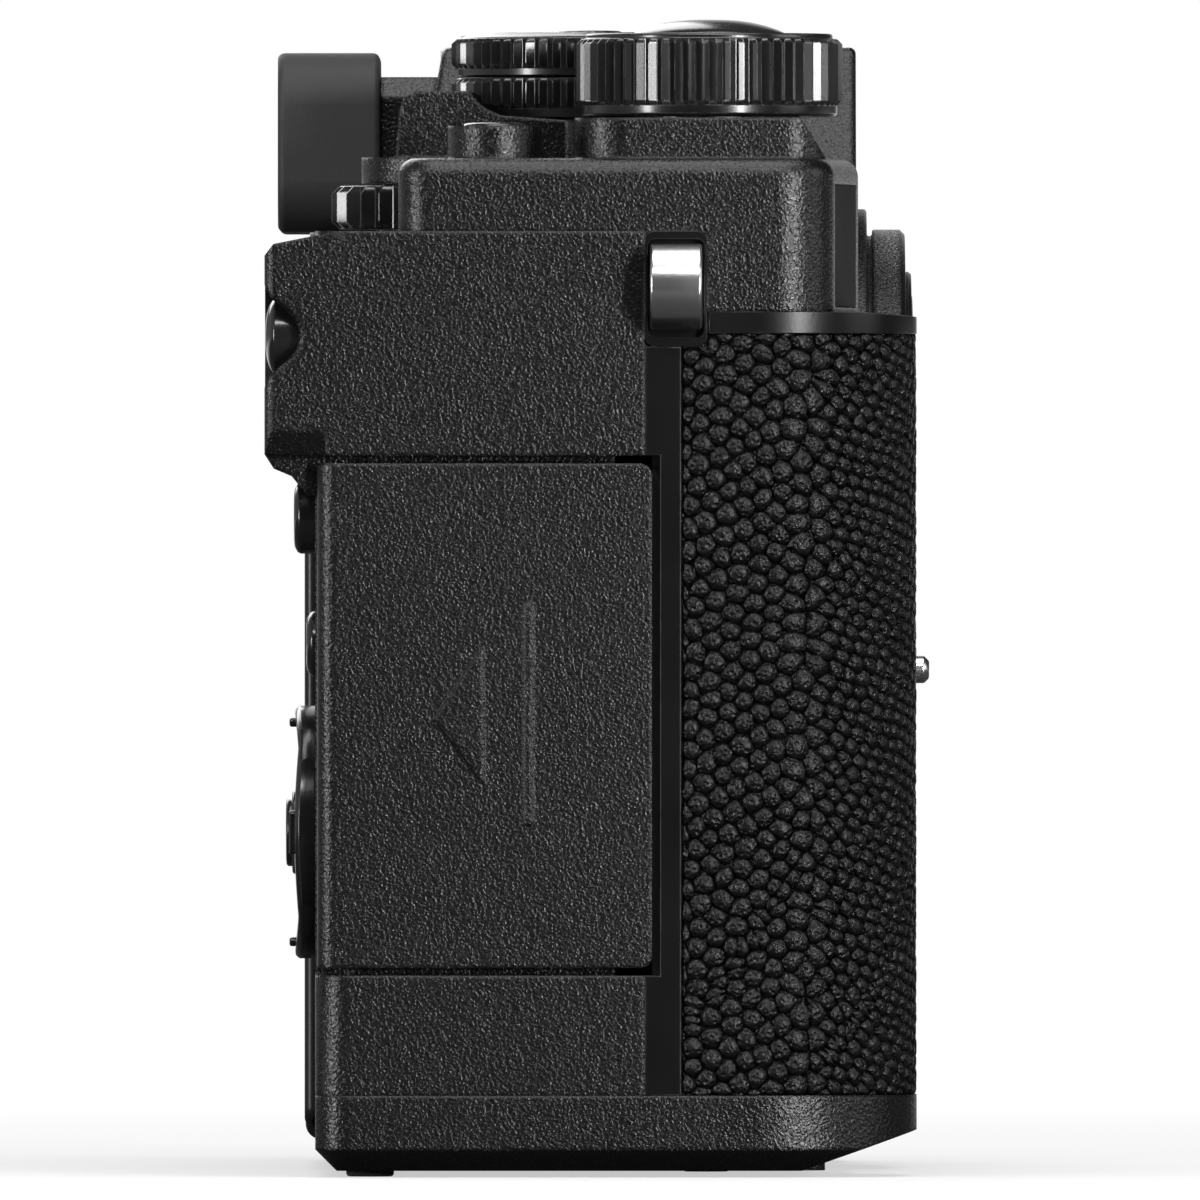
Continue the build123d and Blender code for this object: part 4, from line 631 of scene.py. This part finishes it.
def scale_cells(centres):
    """Corners and outlines of the cells that lie round the centres."""
    triangles = delaunay_2d_cdt(centres, [], [], 0, 1e-5)
    spots, faces = triangles[0], triangles[2]
    corners = []
    around = {}
    for number, face in enumerate(faces):
        a, b, c = [spots[n] for n in face]
        ab, ac = b - a, c - a
        twice = 2 * (ab.x * ac.y - ab.y * ac.x)
        reach = Vector((ac.y * ab.length_squared - ab.y * ac.length_squared,
                        ab.x * ac.length_squared - ac.x * ab.length_squared)) / twice
        corners.append(a + reach if reach.length < 3 else (a + b + c) / 3)
        for spot in face:
            around.setdefault(spot, []).append(number)
    outlines = []
    for spot, ring in around.items():
        middle = spots[spot]
        ring.sort(key=lambda n: -math.atan2(corners[n].y - middle.y, corners[n].x - middle.x))
        if len(ring) > 3:
            outlines.append(ring)
    return corners, outlines


def raise_scales(piece, floor_level):
    """Each top face becomes a domed scale: rings drawn in to its middle, each one higher."""
    form = edit(piece)
    # The furrow layer is 0 on each scale's outline, a half on its first ring and 1 further in. The leather finish
    # paints the low values dark as shade in the furrows.
    rim = form.verts.layers.float.new("furrow")
    shade = form.verts.layers.float.new("scale_tone")
    chance = np.random.RandomState(5)
    near = [e for e in form.edges if any(f.normal.y > 0.9 for f in e.link_faces) and e.verts[0].co.x < 42]
    bmesh.ops.subdivide_edges(form, edges=near, cuts=1)
    for face in [f for f in form.faces if f.normal.y > 0.9]:
        outer = list(face.verts)
        middle = sum((v.co for v in outer), Vector()) / len(outer)
        reach = [(v.co - middle).length for v in outer]
        height = -floor_level * min(1.0, math.sqrt(face.calc_area()) / 1.15) * (0.8 + 0.2 * chance.rand())
        tone = chance.rand()
        before = outer
        for share, level in ((0.86, 0.5), (0.62, 0.86), (0.28, 1.0)):
            ring = []
            for n, vertex in enumerate(outer):
                eased = (2 * reach[n] + reach[n - 1] + reach[(n + 1) % len(outer)]) / 4
                place = middle + (vertex.co - middle).normalized() * eased * share
                place.y = floor_level + height * level
                fresh = form.verts.new(place)
                fresh[rim] = 1.0 if share < 0.8 else 0.5
                fresh[shade] = tone
                ring.append(fresh)
            for n in range(len(outer)):
                m = (n + 1) % len(outer)
                form.faces.new((before[n], before[m], ring[m], ring[n]))
            before = ring
        form.faces.new(before)
        form.faces.remove(face)
    bmesh.update_edit_mesh(piece.data)
    done()


def make_leather():
    """One wrap from end to end: cells laid out flat, given scales, then bent round the body."""
    back, floor_level = -5.2, -0.42
    corners = [(GRIP_END, back, 0), GRIP_EDGE, *GRIP_TO_FRONT, LEFT_EDGE, (LEFT_END, back, 0)]
    track = np.array([(p.x, p.y) for p in rounded_way(corners, 0.25)])
    run = np.concatenate([[0], np.cumsum(np.hypot(*np.diff(track, axis=0).T))])
    spots, outlines = scale_cells(scale_centres(run[-1], LEATHER_LOW, LEATHER_TOP))
    mesh = bpy.data.meshes.new("leather_wrap")
    mesh.from_pydata([(p.x, floor_level, p.y) for p in spots], [], outlines)
    piece = bpy.data.objects.new("leather_wrap", mesh)
    bpy.context.collection.objects.link(piece)
    for place, side in (((0, 0, 0), (-1, 0, 0)), ((run[-1], 0, 0), (1, 0, 0)),
                        ((0, 0, LEATHER_LOW), (0, 0, -1)), ((0, 0, LEATHER_TOP), (0, 0, 1))):
        edit_all(piece)
        bpy.ops.mesh.bisect(plane_co=place, plane_no=side, clear_outer=True)
        done()
    edit_all(piece)
    bpy.ops.mesh.extrude_region_move(TRANSFORM_OT_translate={"value": (0, -0.16, 0)})
    bpy.ops.mesh.select_all(action="SELECT")
    bpy.ops.mesh.normals_make_consistent(inside=False)
    done()
    front = np.abs(track[:, 1] - FRONT) < 0.001
    for x, z, radius in ((0, LENS_Z, COLLAR_ROOM), (41.0, 20.0, 5.05)):
        room = turned("round_room", [(radius, -2), (radius, 2)], 0, 0, 192)
        face_rear(room, float(np.interp(x, track[front, 0], run[front])), z)
        cut(piece, room)
    for start, end in ((-1, 2.05), (run[-1] - 2.05, run[-1] + 1)):
        cut(piece, block("lug_room", start, end, -2, 2, 63.35, 66))
    raise_scales(piece, floor_level)
    place = np.empty(len(mesh.vertices) * 3)
    piece.data.vertices.foreach_get("co", place)
    place = place.reshape(-1, 3)
    heading = np.gradient(track, axis=0)
    heading /= np.hypot(*heading.T)[:, None]
    out = np.stack([np.interp(place[:, 0], run, heading[:, axis]) for axis in (1, 0)])
    spot = np.stack([np.interp(place[:, 0], run, track[:, axis]) for axis in (0, 1)])
    level = place[:, 1].copy()
    place[:, 0] = spot[0] + out[0] * level
    place[:, 1] = spot[1] - out[1] * level
    piece.data.vertices.foreach_set("co", place.ravel())
    outwards(piece)
    activate(piece)
    bpy.ops.object.shade_smooth_by_angle(angle=math.radians(75))
    seat(piece, "root", "leatherette", "leather_covering")


# Satin trims: the band over the leather, the end strips and the corner plate, and a black sheet of painted shade in the
# card door's gap
def make_trims():
    collar = turned("collar_room", [(COLLAR_ROOM, -30), (COLLAR_ROOM, -10)], 0, 0, 256)
    face_rear(collar, 0, LENS_Z)
    pieces = []
    back, inner, thick = -7.2, -16.4, 1.7
    bands = (
        ("grip_band", [(GRIP_END, back, 0), GRIP_EDGE, *GRIP_TO_FRONT, (-20, FRONT, 0)],
         [(-20, inner), (-44, inner), (-44, back)]),
        ("left_band", [(20, FRONT, 0), LEFT_EDGE, (LEFT_END, back, 0)], [(61.6, back), (61.6, inner), (20, inner)]),
    )

    def lower_grip_edge(corner):
        """The band's top falls a little where it runs out over the grip."""
        if corner.z > LEATHER_TOP + 1.5:
            corner.z -= 0.35 * min(1.0, max(0.0, (FRONT - corner.y) / (FRONT - GRIP_FRONT)))

    for name, outside, inside in bands:
        way = [(p.x, p.y, LEATHER_TOP) for p in rounded_way(outside, 0.5)] + [(x, y, LEATHER_TOP) for x, y in inside]
        band = slab(name, way, (0, 0, thick))
        move_corners(band, lower_grip_edge)
        cut(band, collar, keep=True)
        soften(band, 0.15, 2, 30)
        pieces.append(band)
    bpy.data.objects.remove(collar, do_unlink=True)
    for x0, x1 in ((GRIP_END, -74.4), (63.4, LEFT_END)):
        strip = block("end_strip", x0, x1, -5.1, -2.3, 5.8, 63.5)
        if x0 < 0:
            cut(strip, block("door_room", -76, -73, -3.45, 0, 15.05, 55.1))
        soften(strip, 0.1, 2, 30)
        pieces.append(strip)
    # A black sheet in the card door's gap: painted shade, so that the groove renders dark.
    gap_shade_sheet = block("door_gap_shade", -73.7, -73.5, -3.44, -2.86, 15.06, 55.09)
    seat(gap_shade_sheet, "root", "black_plastic", finish="blade_black")
    edge = ((-70.6, -16.96), (-70.6, -16.56), (-57.5, -18.2), (-57.5, -18.61))
    plate = slab("corner_plate", [(x, y, 66.6) for x, y in edge], (0, 0, 9.4))
    soften(plate, 0.04, 1, 30)
    seat(plate, "root", "satin_trim", "trim_panels", finish="badge_black")
    seat(joined("trim_skins", pieces), "root", "satin_trim", "trim_panels")


# Strap lugs: a bent bar with round sides, one at each end
def make_lugs():
    loops = []
    for floor, tip, thin in ((-73.8, -79.15, -78.1), (62.8, 68.15, 67.1)):
        outer = rounded_way([(floor, 64.8, 0), (tip, 64.8, 3.2), (tip, 71.4, 3.2), (floor, 71.4, 0)], 0.25)
        inner = rounded_way([(floor, 70.35, 0), (thin, 70.35, 2.15), (thin, 65.85, 2.15), (floor, 65.85, 0)], 0.25)
        loop = slab("strap_loops", [(p.x, -6.7, p.y) for p in outer + inner], (0, 4.0, 0))
        soften(loop, 0.46, 5, 50)
        loops.append(loop)
    seat(joined("strap_loops", loops), "root", "lug_chrome", "strap_lugs")


# Dials and buttons
def disc_marks(name, words, x, y, radius, height, size, body):
    """Figures set round the top of a dial, reading outwards."""
    pieces = []
    for place, word in enumerate(words.split()):
        angle = math.radians(90 - 360 * place / len(words.split()))
        bpy.ops.object.select_all(action="DESELECT")
        bpy.ops.object.text_add(location=(x + radius * math.cos(angle), y + radius * math.sin(angle), height))
        figure = bpy.context.object
        figure.data.body = word
        figure.data.size = size
        figure.data.align_x = figure.data.align_y = "CENTER"
        figure.data.extrude = 0.012
        figure.data.resolution_u = 3
        figure.rotation_euler = (0, 0, angle - math.pi / 2)
        bpy.ops.object.convert(target="MESH")
        pieces.append(bpy.context.object)
    seat(joined(name, pieces), body, "dial_metal", finish="figure_paint")


def make_dials():
    # piece, body, finish, axis, wheel (radius, ridge depth, ridges, bottom, top, tip), profile below and above
    rows = (
        ("front_wheel", "front_dial", "front_dial_metal", FRONT_DIAL, (10.35, 0.5, 60, 82.17, 87.34, 0.42),
         [(9.5, 81.31), (9.75, 81.36), (9.9, 81.55), (9.9, 82.17)],
         [(9.55, 87.36), (9.55, 87.62), (9.42, 87.74), (7.2, 87.74), (6.9, 87.66), (6.15, 87.6), (6.15, 86.2)]),
        ("drive_wheel", "drive_ring", "mode_dial_metal", MODE_DIAL, (10.65, 0.5, 60, 82.1, 84.48, 0.4),
         [(9.9, 81.31), (10.2, 81.4), (10.2, 82.1)], [(9.0, 84.48), (8.6, 84.3)]),
        ("mode_wheel", "mode_dial", "mode_dial_metal", MODE_DIAL, (10.65, 0.5, 60, 85.22, 87.55, 0.4),
         [(9.6, 84.6), (10.1, 84.7), (10.1, 85.22)],
         [(9.9, 87.56), (9.9, 87.62), (9.1, 88.0), (2.75, 88.0), (2.65, 87.92), (2.6, 88.12), (2.4, 88.2)]),
        ("rear_wheel", "rear_dial", "rear_dial_metal", (-55.0, 14.0), (8.0, 0.8, 28, 72.65, 76.0, 0.6),
         [(6.6, 72.66)], [(6.8, 76.0), (6.5, 75.9)]),
        ("left_wheel", "left_dial", "left_dial_metal", LEFT_DIAL, (9.0, 0.45, 48, 80.15, 83.7, 0.4),
         [(8.0, 80.16)], [(8.1, 83.72), (8.1, 84.1), (8.0, 84.2), (2.6, 84.2), (2.4, 84.05)]),
    )
    for name, body, finish, (x, y), shape, below, above in rows:
        wheel = ridged_wheel(name, x, y, *shape, below, above)
        soften(wheel, 0.07 if name == "rear_wheel" else 0.05, 1)
        seat(wheel, body, "dial_metal", body, finish=dial_finish(finish, x, y))
    disc_marks("mode_figures", "A 1 2 4 8 15 30 60 125 250 500 1000 2000 4000 T B", *MODE_DIAL, 7.9, 88.01, 1.35,
               "mode_dial")
    disc_marks("left_figures", "A 100 200 400 800 1600 3200 6400 H L", *LEFT_DIAL, 6.4, 84.21, 1.3, "left_dial")
    knob = ridged_wheel("dioptre_knob", 0, 0, 3.3, 0.3, 24, 24.3, 26.5, 0.25, [(2.6, 24.25)],
                        [(2.6, 26.5), (2.3, 26.4)])
    knob.rotation_euler = (0, math.pi / 2, 0)
    knob.location = (0, 8.0, 82.2)
    apply_place(knob)
    soften(knob, 0.04, 1)
    seat(knob, "dioptre_dial", "dial_metal", "dioptre_dial", finish="satin_trim")


def rear_key_profile(radius, face):
    """A round button with a rolled rim and a slightly dished face."""
    return [(radius, 21.0), (radius, face - 0.55), (radius - 0.12, face - 0.3), (radius - 0.5, face - 0.06),
            (radius - 1.0, face), (radius - 1.6, face - 0.02), (0.5, face - 0.1)]


def make_buttons():
    # piece, body and solid, whether it looks to the rear, its axis, vertices, steps of the rounding, profile
    rows = (
        ("shutter_cap", "shutter_button", False, FRONT_DIAL, 128, 1,
         [(5.0, 87.58), (5.84, 87.58), (5.9, 87.66), (5.75, 87.86), (5.2, 88.1), (4.4, 88.36), (3.4, 88.6),
          (2.4, 88.75), (1.4, 88.82), (0.5, 88.84)]),
        ("collar_key", "collar_button", False, (-66.5, 9.25), 64, 2,
         [(2.3, 78.2), (2.5, 78.3), (2.5, 80.5), (2.35, 80.72), (1.9, 80.8), (1.5, 80.76), (0.4, 80.68)]),
        ("upper_key", "upper_button", True, (-66.5, 50.3), 72, 2, rear_key_profile(2.75, 24.77)),
        ("lower_key", "lower_button", True, (-67.5, 40.6), 72, 2, rear_key_profile(2.5, 23.8)),
        ("thumb_key", "thumb_button", True, (-71.1, 64.3), 72, 2,
         [(1.2, 20.4), (1.2, 23.1), (2.9, 23.12), (2.9, 26.15), (2.75, 26.4), (2.3, 26.65), (1.7, 26.83),
          (1.0, 26.93), (0.4, 26.95)]),
        ("ok_key", "ok_button", True, PAD, 72, 2,
         [(3.25, 21.6), (3.25, 24.88), (3.1, 25.0), (2.65, 25.02), (2.65, 25.32), (2.5, 25.45), (2.1, 25.5),
          (0.6, 25.44)]),
    )
    for name, body, to_rear, axis, vertices, steps, profile in rows:
        key = turned(name, profile, *((0, 0) if to_rear else axis), vertices)
        if to_rear:
            face_rear(key, *axis)
        soften(key, 0.05, steps, 50)
        seat(key, body, "button_black", body)


# Lens mount
def make_mount():
    # piece, slot, solid, width of the rounding, section from the lens axis out and towards the front
    rows = (
        ("collar_casting", "collar_paint", "mount_collar", 0.06,
         [(27.0, -18.2), (36.7, -18.2), (36.7, -19.55), (36.55, -19.7), (34.75, -19.7), (34.6, -19.85),
          (34.6, -20.05), (34.75, -20.15), (35.0, -20.15), (35.1, -20.25), (35.1, -22.3), (34.7, -22.7),
          (31.85, -22.7), (31.85, -21.5), (29.95, -21.5), (29.95, -21.1), (27.0, -21.1)]),
        ("collar_trim", "satin_trim", "mount_trim_ring", 0.05,
         [(29.95, -21.5), (31.8, -21.5), (31.8, -22.95), (31.62, -23.2), (30.6, -23.2), (30.35, -23.1),
          (29.95, -23.1)]),
    )
    for name, slot, source, width, section in rows:
        ring = turned(name, section, 0, 0, 256, ring=True)
        face_rear(ring, 0, LENS_Z)
        soften(ring, width, 2, 25)
        seat(ring, "root", slot, source)


def make_screw(name, radius, high):
    """A cross head screw, face up, its head's top at height zero."""
    neck = radius * 0.5
    head = turned(name, [(neck, -high - 0.6), (neck, -high), (radius, -high), (radius, -0.12),
                         (radius - 0.12, -0.03), (neck, 0)], 0, 0, 40)
    for wide, deep in ((radius * 1.25, 0.339), (0.34, radius * 1.25)):
        cut(head, block("cross", -wide / 2, wide / 2, -deep / 2, deep / 2, -0.4, 0.2))
    soften(head, 0.03, 1)
    return head


def make_screws():
    small, large = make_screw("mount_screw", 1.3, 0.8), make_screw("base_screw", 1.65, 0.7)
    places = []
    ring = 27.7
    for n in range(6):
        angle = math.radians(30 + 60 * n)
        spot = (ring * math.cos(angle), -23.2, LENS_Z + ring * math.sin(angle))
        places.append((small, (math.pi / 2, 0.5 * n, 0), spot))
    for n, (x, y) in enumerate(((-22, 9), (22, 9), (-20, -11.5), (20, -11.5))):
        places.append((large, (math.pi, 0, 0.7 * n), (x, y, 0.3)))
    screws = []
    for model, turn, spot in places:
        screw = copied(model, "screw")
        screw.rotation_euler = turn
        screw.location = spot
        screws.append(screw)
    for model in (small, large):
        bpy.data.objects.remove(model, do_unlink=True)
    seat(joined("cross_head_screws", screws), "root", "screw_steel", "screws")


# Card door
def make_card_door():
    """The door takes the body's rounded rear corner with it, and hides its hinge."""
    door = block("card_door_plate", GRIP_END, -73.5, -2.85, 22.95, 15.65, 54.5)
    pick_edges(door, lambda middle, way: abs(way.z) > 0.99 and middle.x < -74 and middle.y > 20)
    bpy.ops.mesh.bevel(offset=1.45, segments=8, affect="EDGES")
    done()
    pick_edges(door, lambda middle, way: abs(way.x) > 0.99 and middle.y < 0)
    bpy.ops.mesh.bevel(offset=0.9, segments=6, affect="EDGES")
    done()
    soften(door, 0.22, 3)
    arrow = slab("door_arrow", [(-74.9, y, z) for y, z in ((13.92, 34.8), (10.2, 40.32), (10.09, 29.87))], (-0.3, 0, 0))
    soften(arrow, 0.07, 2)
    bar = block("door_bar", -75.2, -74.9, 6.35, 6.99, 26.66, 43.67)
    round_block(bar, 0, 0.2, 3)
    soften(bar, 0.06, 2)
    seat(joined("card_door_plate", [door, arrow, bar]), "card_door", "cover_casting", "card_door")
    slider = dressed("card_slider", "card_slider_frame", 0.05, 1)

    def draw_in_knuckle(corner):
        away = corner.xy - Vector((-74.1, 21.9))
        if 0.7 < away.length < 0.95:
            corner.xy -= away * 0.4

    move_corners(slider, draw_in_knuckle)
    seat(slider, "card_slider", "black_plastic", "card_slider")


# Four-way pad
def make_pad():
    """A ring that dips at its four diagonals, with a pill mark at the end of each arm."""
    rim = 9.8
    pad = turned(
        "rocker_pad",
        [(4.4, 22.1), (9.3, 22.1), (rim, 22.9), (rim, 24.3), (9.55, 24.62), (9.2, 24.75), (8.0, 24.7), (6.8, 24.65),
         (5.6, 24.6), (4.9, 24.45), (4.4, 24.1)],
        0, 0, 144, ring=True,
    )

    def lift_arm(corner):
        if corner.z > 24.2:
            corner.z += 0.55 * (max(abs(corner.x), abs(corner.y)) / rim) ** 3 - 0.4

    move_corners(pad, lift_arm)
    marks = []
    for n in range(4):
        mark = block("pad_mark", 8.15, 8.85, -1.7, 1.7, 24.4, 25.22)
        round_block(mark, 2, 0.33, 4)
        soften(mark, 0.15, 2)
        mark.rotation_euler = (0, 0, n * math.pi / 2)
        marks.append(mark)
    pad = joined("rocker_pad", [pad] + marks)
    face_rear(pad, *PAD)
    soften(pad, 0.05, 1, 40)
    seat(pad, "four_way_pad", "button_black", "four_way_pad")


# Eyecup
def make_eyecup():
    """A rubber cup: a rounded block, inset on both faces and bridged into a window."""
    cup = block("rubber_eyecup", -18, 18, 18.35, 26.3, 72.7, 86.69)
    round_block(cup, 1, 4.0, 10)
    for side, rim in ((1, 2.5), (-1, 3.2)):
        pick_faces(cup, lambda middle, normal: normal.y * side > 0.9)
        bpy.ops.mesh.inset(thickness=rim, depth=0)
        bpy.ops.transform.resize(value=(0.9, 1, 1), center_override=(0, 22, EYECUP_Z))
        done()
    pick_faces(cup, lambda middle, normal: abs(normal.y) > 0.9 and abs(middle.x) < 1 and abs(middle.z - EYECUP_Z) < 1)
    bpy.ops.mesh.bridge_edge_loops()
    done()
    outwards(cup)
    soften(cup, 0.55, 4, 30)
    seat(cup, "root", "eyecup_rubber", "eyecup")


# Inner parts keep their solids and get their finishes
def finish_solids():
    rows = {
        "inner_alloy": ("dial_hubs", "card_socket", "inner_frame", "sideways_stage", "stabiliser_base"),
        "blade_black": ("throat_baffle", "shutter_frame", "shutter_curtain"),
        "black_plastic": ("pad_carrier", "battery_box"),
        "spring_steel": ("mount_spring", "hinge_pins"),
        "coated_glass": ("sensor_glass", "eyepiece_lens"),
        "battery_case": ("battery",),
        "sensor_frame": ("sensor_carrier",),
        "board_green": ("circuit_boards",),
        "socket_metal": ("port_sockets",),
    }
    for finish, names in rows.items():
        for name in names:
            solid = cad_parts[name]
            if not solid.material_slots:
                solid.data.materials.append(finishes[finish])
            for place in solid.material_slots:
                place.material = finishes[finish]


# Floor, light and camera
def mixed(tree, factor, first, second):
    """The output of two shaders mixed."""
    return node(tree, "ShaderNodeMixShader", {0: factor, 1: first, 2: second}).outputs[0]


def make_stage():
    """White paper for the camera, dark for the light that would fall back on the object."""
    bpy.ops.object.select_all(action="DESELECT")
    bpy.ops.mesh.primitive_plane_add(size=3, location=(0, 0, -0.5 * MM))
    floor = named("studio_floor")
    paper = bpy.data.materials.new("studio_paper")
    paper.use_nodes = True
    tree = paper.node_tree
    way = node(tree, "ShaderNodeLightPath").outputs
    straight = reckon(tree, "MAXIMUM", way["Is Camera Ray"], way["Is Transmission Ray"])
    shader = tree.nodes["Principled BSDF"]
    for socket, value in (
        ("Base Color", blend_colour(tree, straight, (0.06, 0.06, 0.06, 1), (0.86, 0.86, 0.86, 1))),
        ("Roughness", 0.9), ("Specular IOR Level", 0.1),
    ):
        feed(tree, shader.inputs[socket], value)
    place = own_place(tree)
    reach = node(tree, "ShaderNodeVectorMath", {0: place}, operation="LENGTH").outputs["Value"]
    along = node(tree, "ShaderNodeSeparateXYZ", {0: place}).outputs[0]
    mirrored = reckon(tree, "MULTIPLY", way["Is Glossy Ray"], spread(tree, along, 0.2, 0.6))
    seen = reckon(tree, "MAXIMUM", straight, mirrored)
    melt = reckon(tree, "MULTIPLY", seen, spread(tree, reach, 0.1, 0.5, 0.55, 1.0))
    glow = node(tree, "ShaderNodeEmission", {"Strength": 1.0}).outputs[0]
    lit = mixed(tree, melt, shader.outputs[0], glow)
    below = node(tree, "ShaderNodeNewGeometry").outputs["Backfacing"]
    clear = node(tree, "ShaderNodeBsdfTransparent").outputs[0]
    feed(tree, tree.nodes["Material Output"].inputs["Surface"], mixed(tree, below, lit, clear))
    floor.data.materials.append(paper)


def make_world():
    """White for the camera, faint for plain light, and for mirrored light bright only behind the object."""
    world = bpy.data.worlds.new("studio")
    bpy.context.scene.world = world
    world.use_nodes = True
    tree = world.node_tree
    tree.nodes.clear()
    way = node(tree, "ShaderNodeLightPath").outputs
    seen = reckon(tree, "MAXIMUM", way["Is Camera Ray"], way["Is Transmission Ray"])
    direction = node(tree, "ShaderNodeTexCoord").outputs["Generated"]
    split = node(tree, "ShaderNodeSeparateXYZ", {0: direction}).outputs
    behind = spread(tree, split[0], 0.93, 1.0, 0.04, 1.0)
    rear_side = spread(tree, split[1], 0.2, 0.9, 0.0, 0.4)
    soft, gloss, white = [
        node(tree, "ShaderNodeBackground", {0: (1, 1, 1, 1), 1: strength}).outputs[0]
        for strength in (0.12, reckon(tree, "MAXIMUM", behind, rear_side), 1.0)
    ]
    light = mixed(tree, way["Is Glossy Ray"], soft, gloss)
    node(tree, "ShaderNodeOutputWorld", {0: mixed(tree, seen, light, white)})


def make_lights():
    # lamp, place in metres, width, height, power
    rows = (
        ("overhead_box", (-0.12, -0.05, 0.7), 0.5, 0.5, 2.6),
        ("front_strip", (-0.6, -0.3, 0.09), 0.07, 0.3, 3.5),
        ("rear_strip", (-0.42, 0.56, 0.09), 0.08, 0.3, 2.4),
        ("top_strip", (-0.5, 0.0, 0.46), 0.5, 0.08, 1.6),
        ("front_box", (-0.2, -0.8, 0.3), 0.4, 0.5, 1.6),
        ("far_fill", (0.7, 0.25, 0.45), 0.5, 0.5, 2.4),
    )
    aim = Vector((-0.06, 0.0, 0.045))
    for name, place, wide, tall, power in rows:
        bpy.ops.object.select_all(action="DESELECT")
        bpy.ops.object.light_add(type="AREA", location=place)
        lamp = bpy.context.object
        lamp.name = name
        lamp.data.shape = "RECTANGLE"
        lamp.data.size = wide
        lamp.data.size_y = tall
        lamp.data.energy = power
        lamp.rotation_euler = (aim - Vector(place)).to_track_quat("-Z", "Y").to_euler()
        lamp.visible_camera = False


def make_camera():
    """Looks along +X from 4.3 metres, level, with the frame 92.4 mm wide at the grip end."""
    away, sight = 4.3, 0.0924
    bpy.ops.object.select_all(action="DESELECT")
    bpy.ops.object.camera_add(
        location=(GRIP_END * MM - away, 1.155 * MM, 43.98 * MM), rotation=(math.pi / 2, 0, -math.pi / 2)
    )
    camera = bpy.context.object
    camera.name = "photo_view"
    camera.data.sensor_width = 36.0
    camera.data.lens = camera.data.sensor_width * away / sight
    camera.data.clip_start = 0.1
    camera.data.clip_end = 200.0
    bpy.context.scene.camera = camera


bpy.context.scene.view_settings.view_transform = "Standard"
for make in (
    make_camera, make_world, make_lights, make_stage, dress_shells, make_leather, make_trims, make_lugs, make_dials,
    make_buttons, make_mount, make_screws, make_card_door, make_pad, make_eyecup, finish_solids,
):
    make()
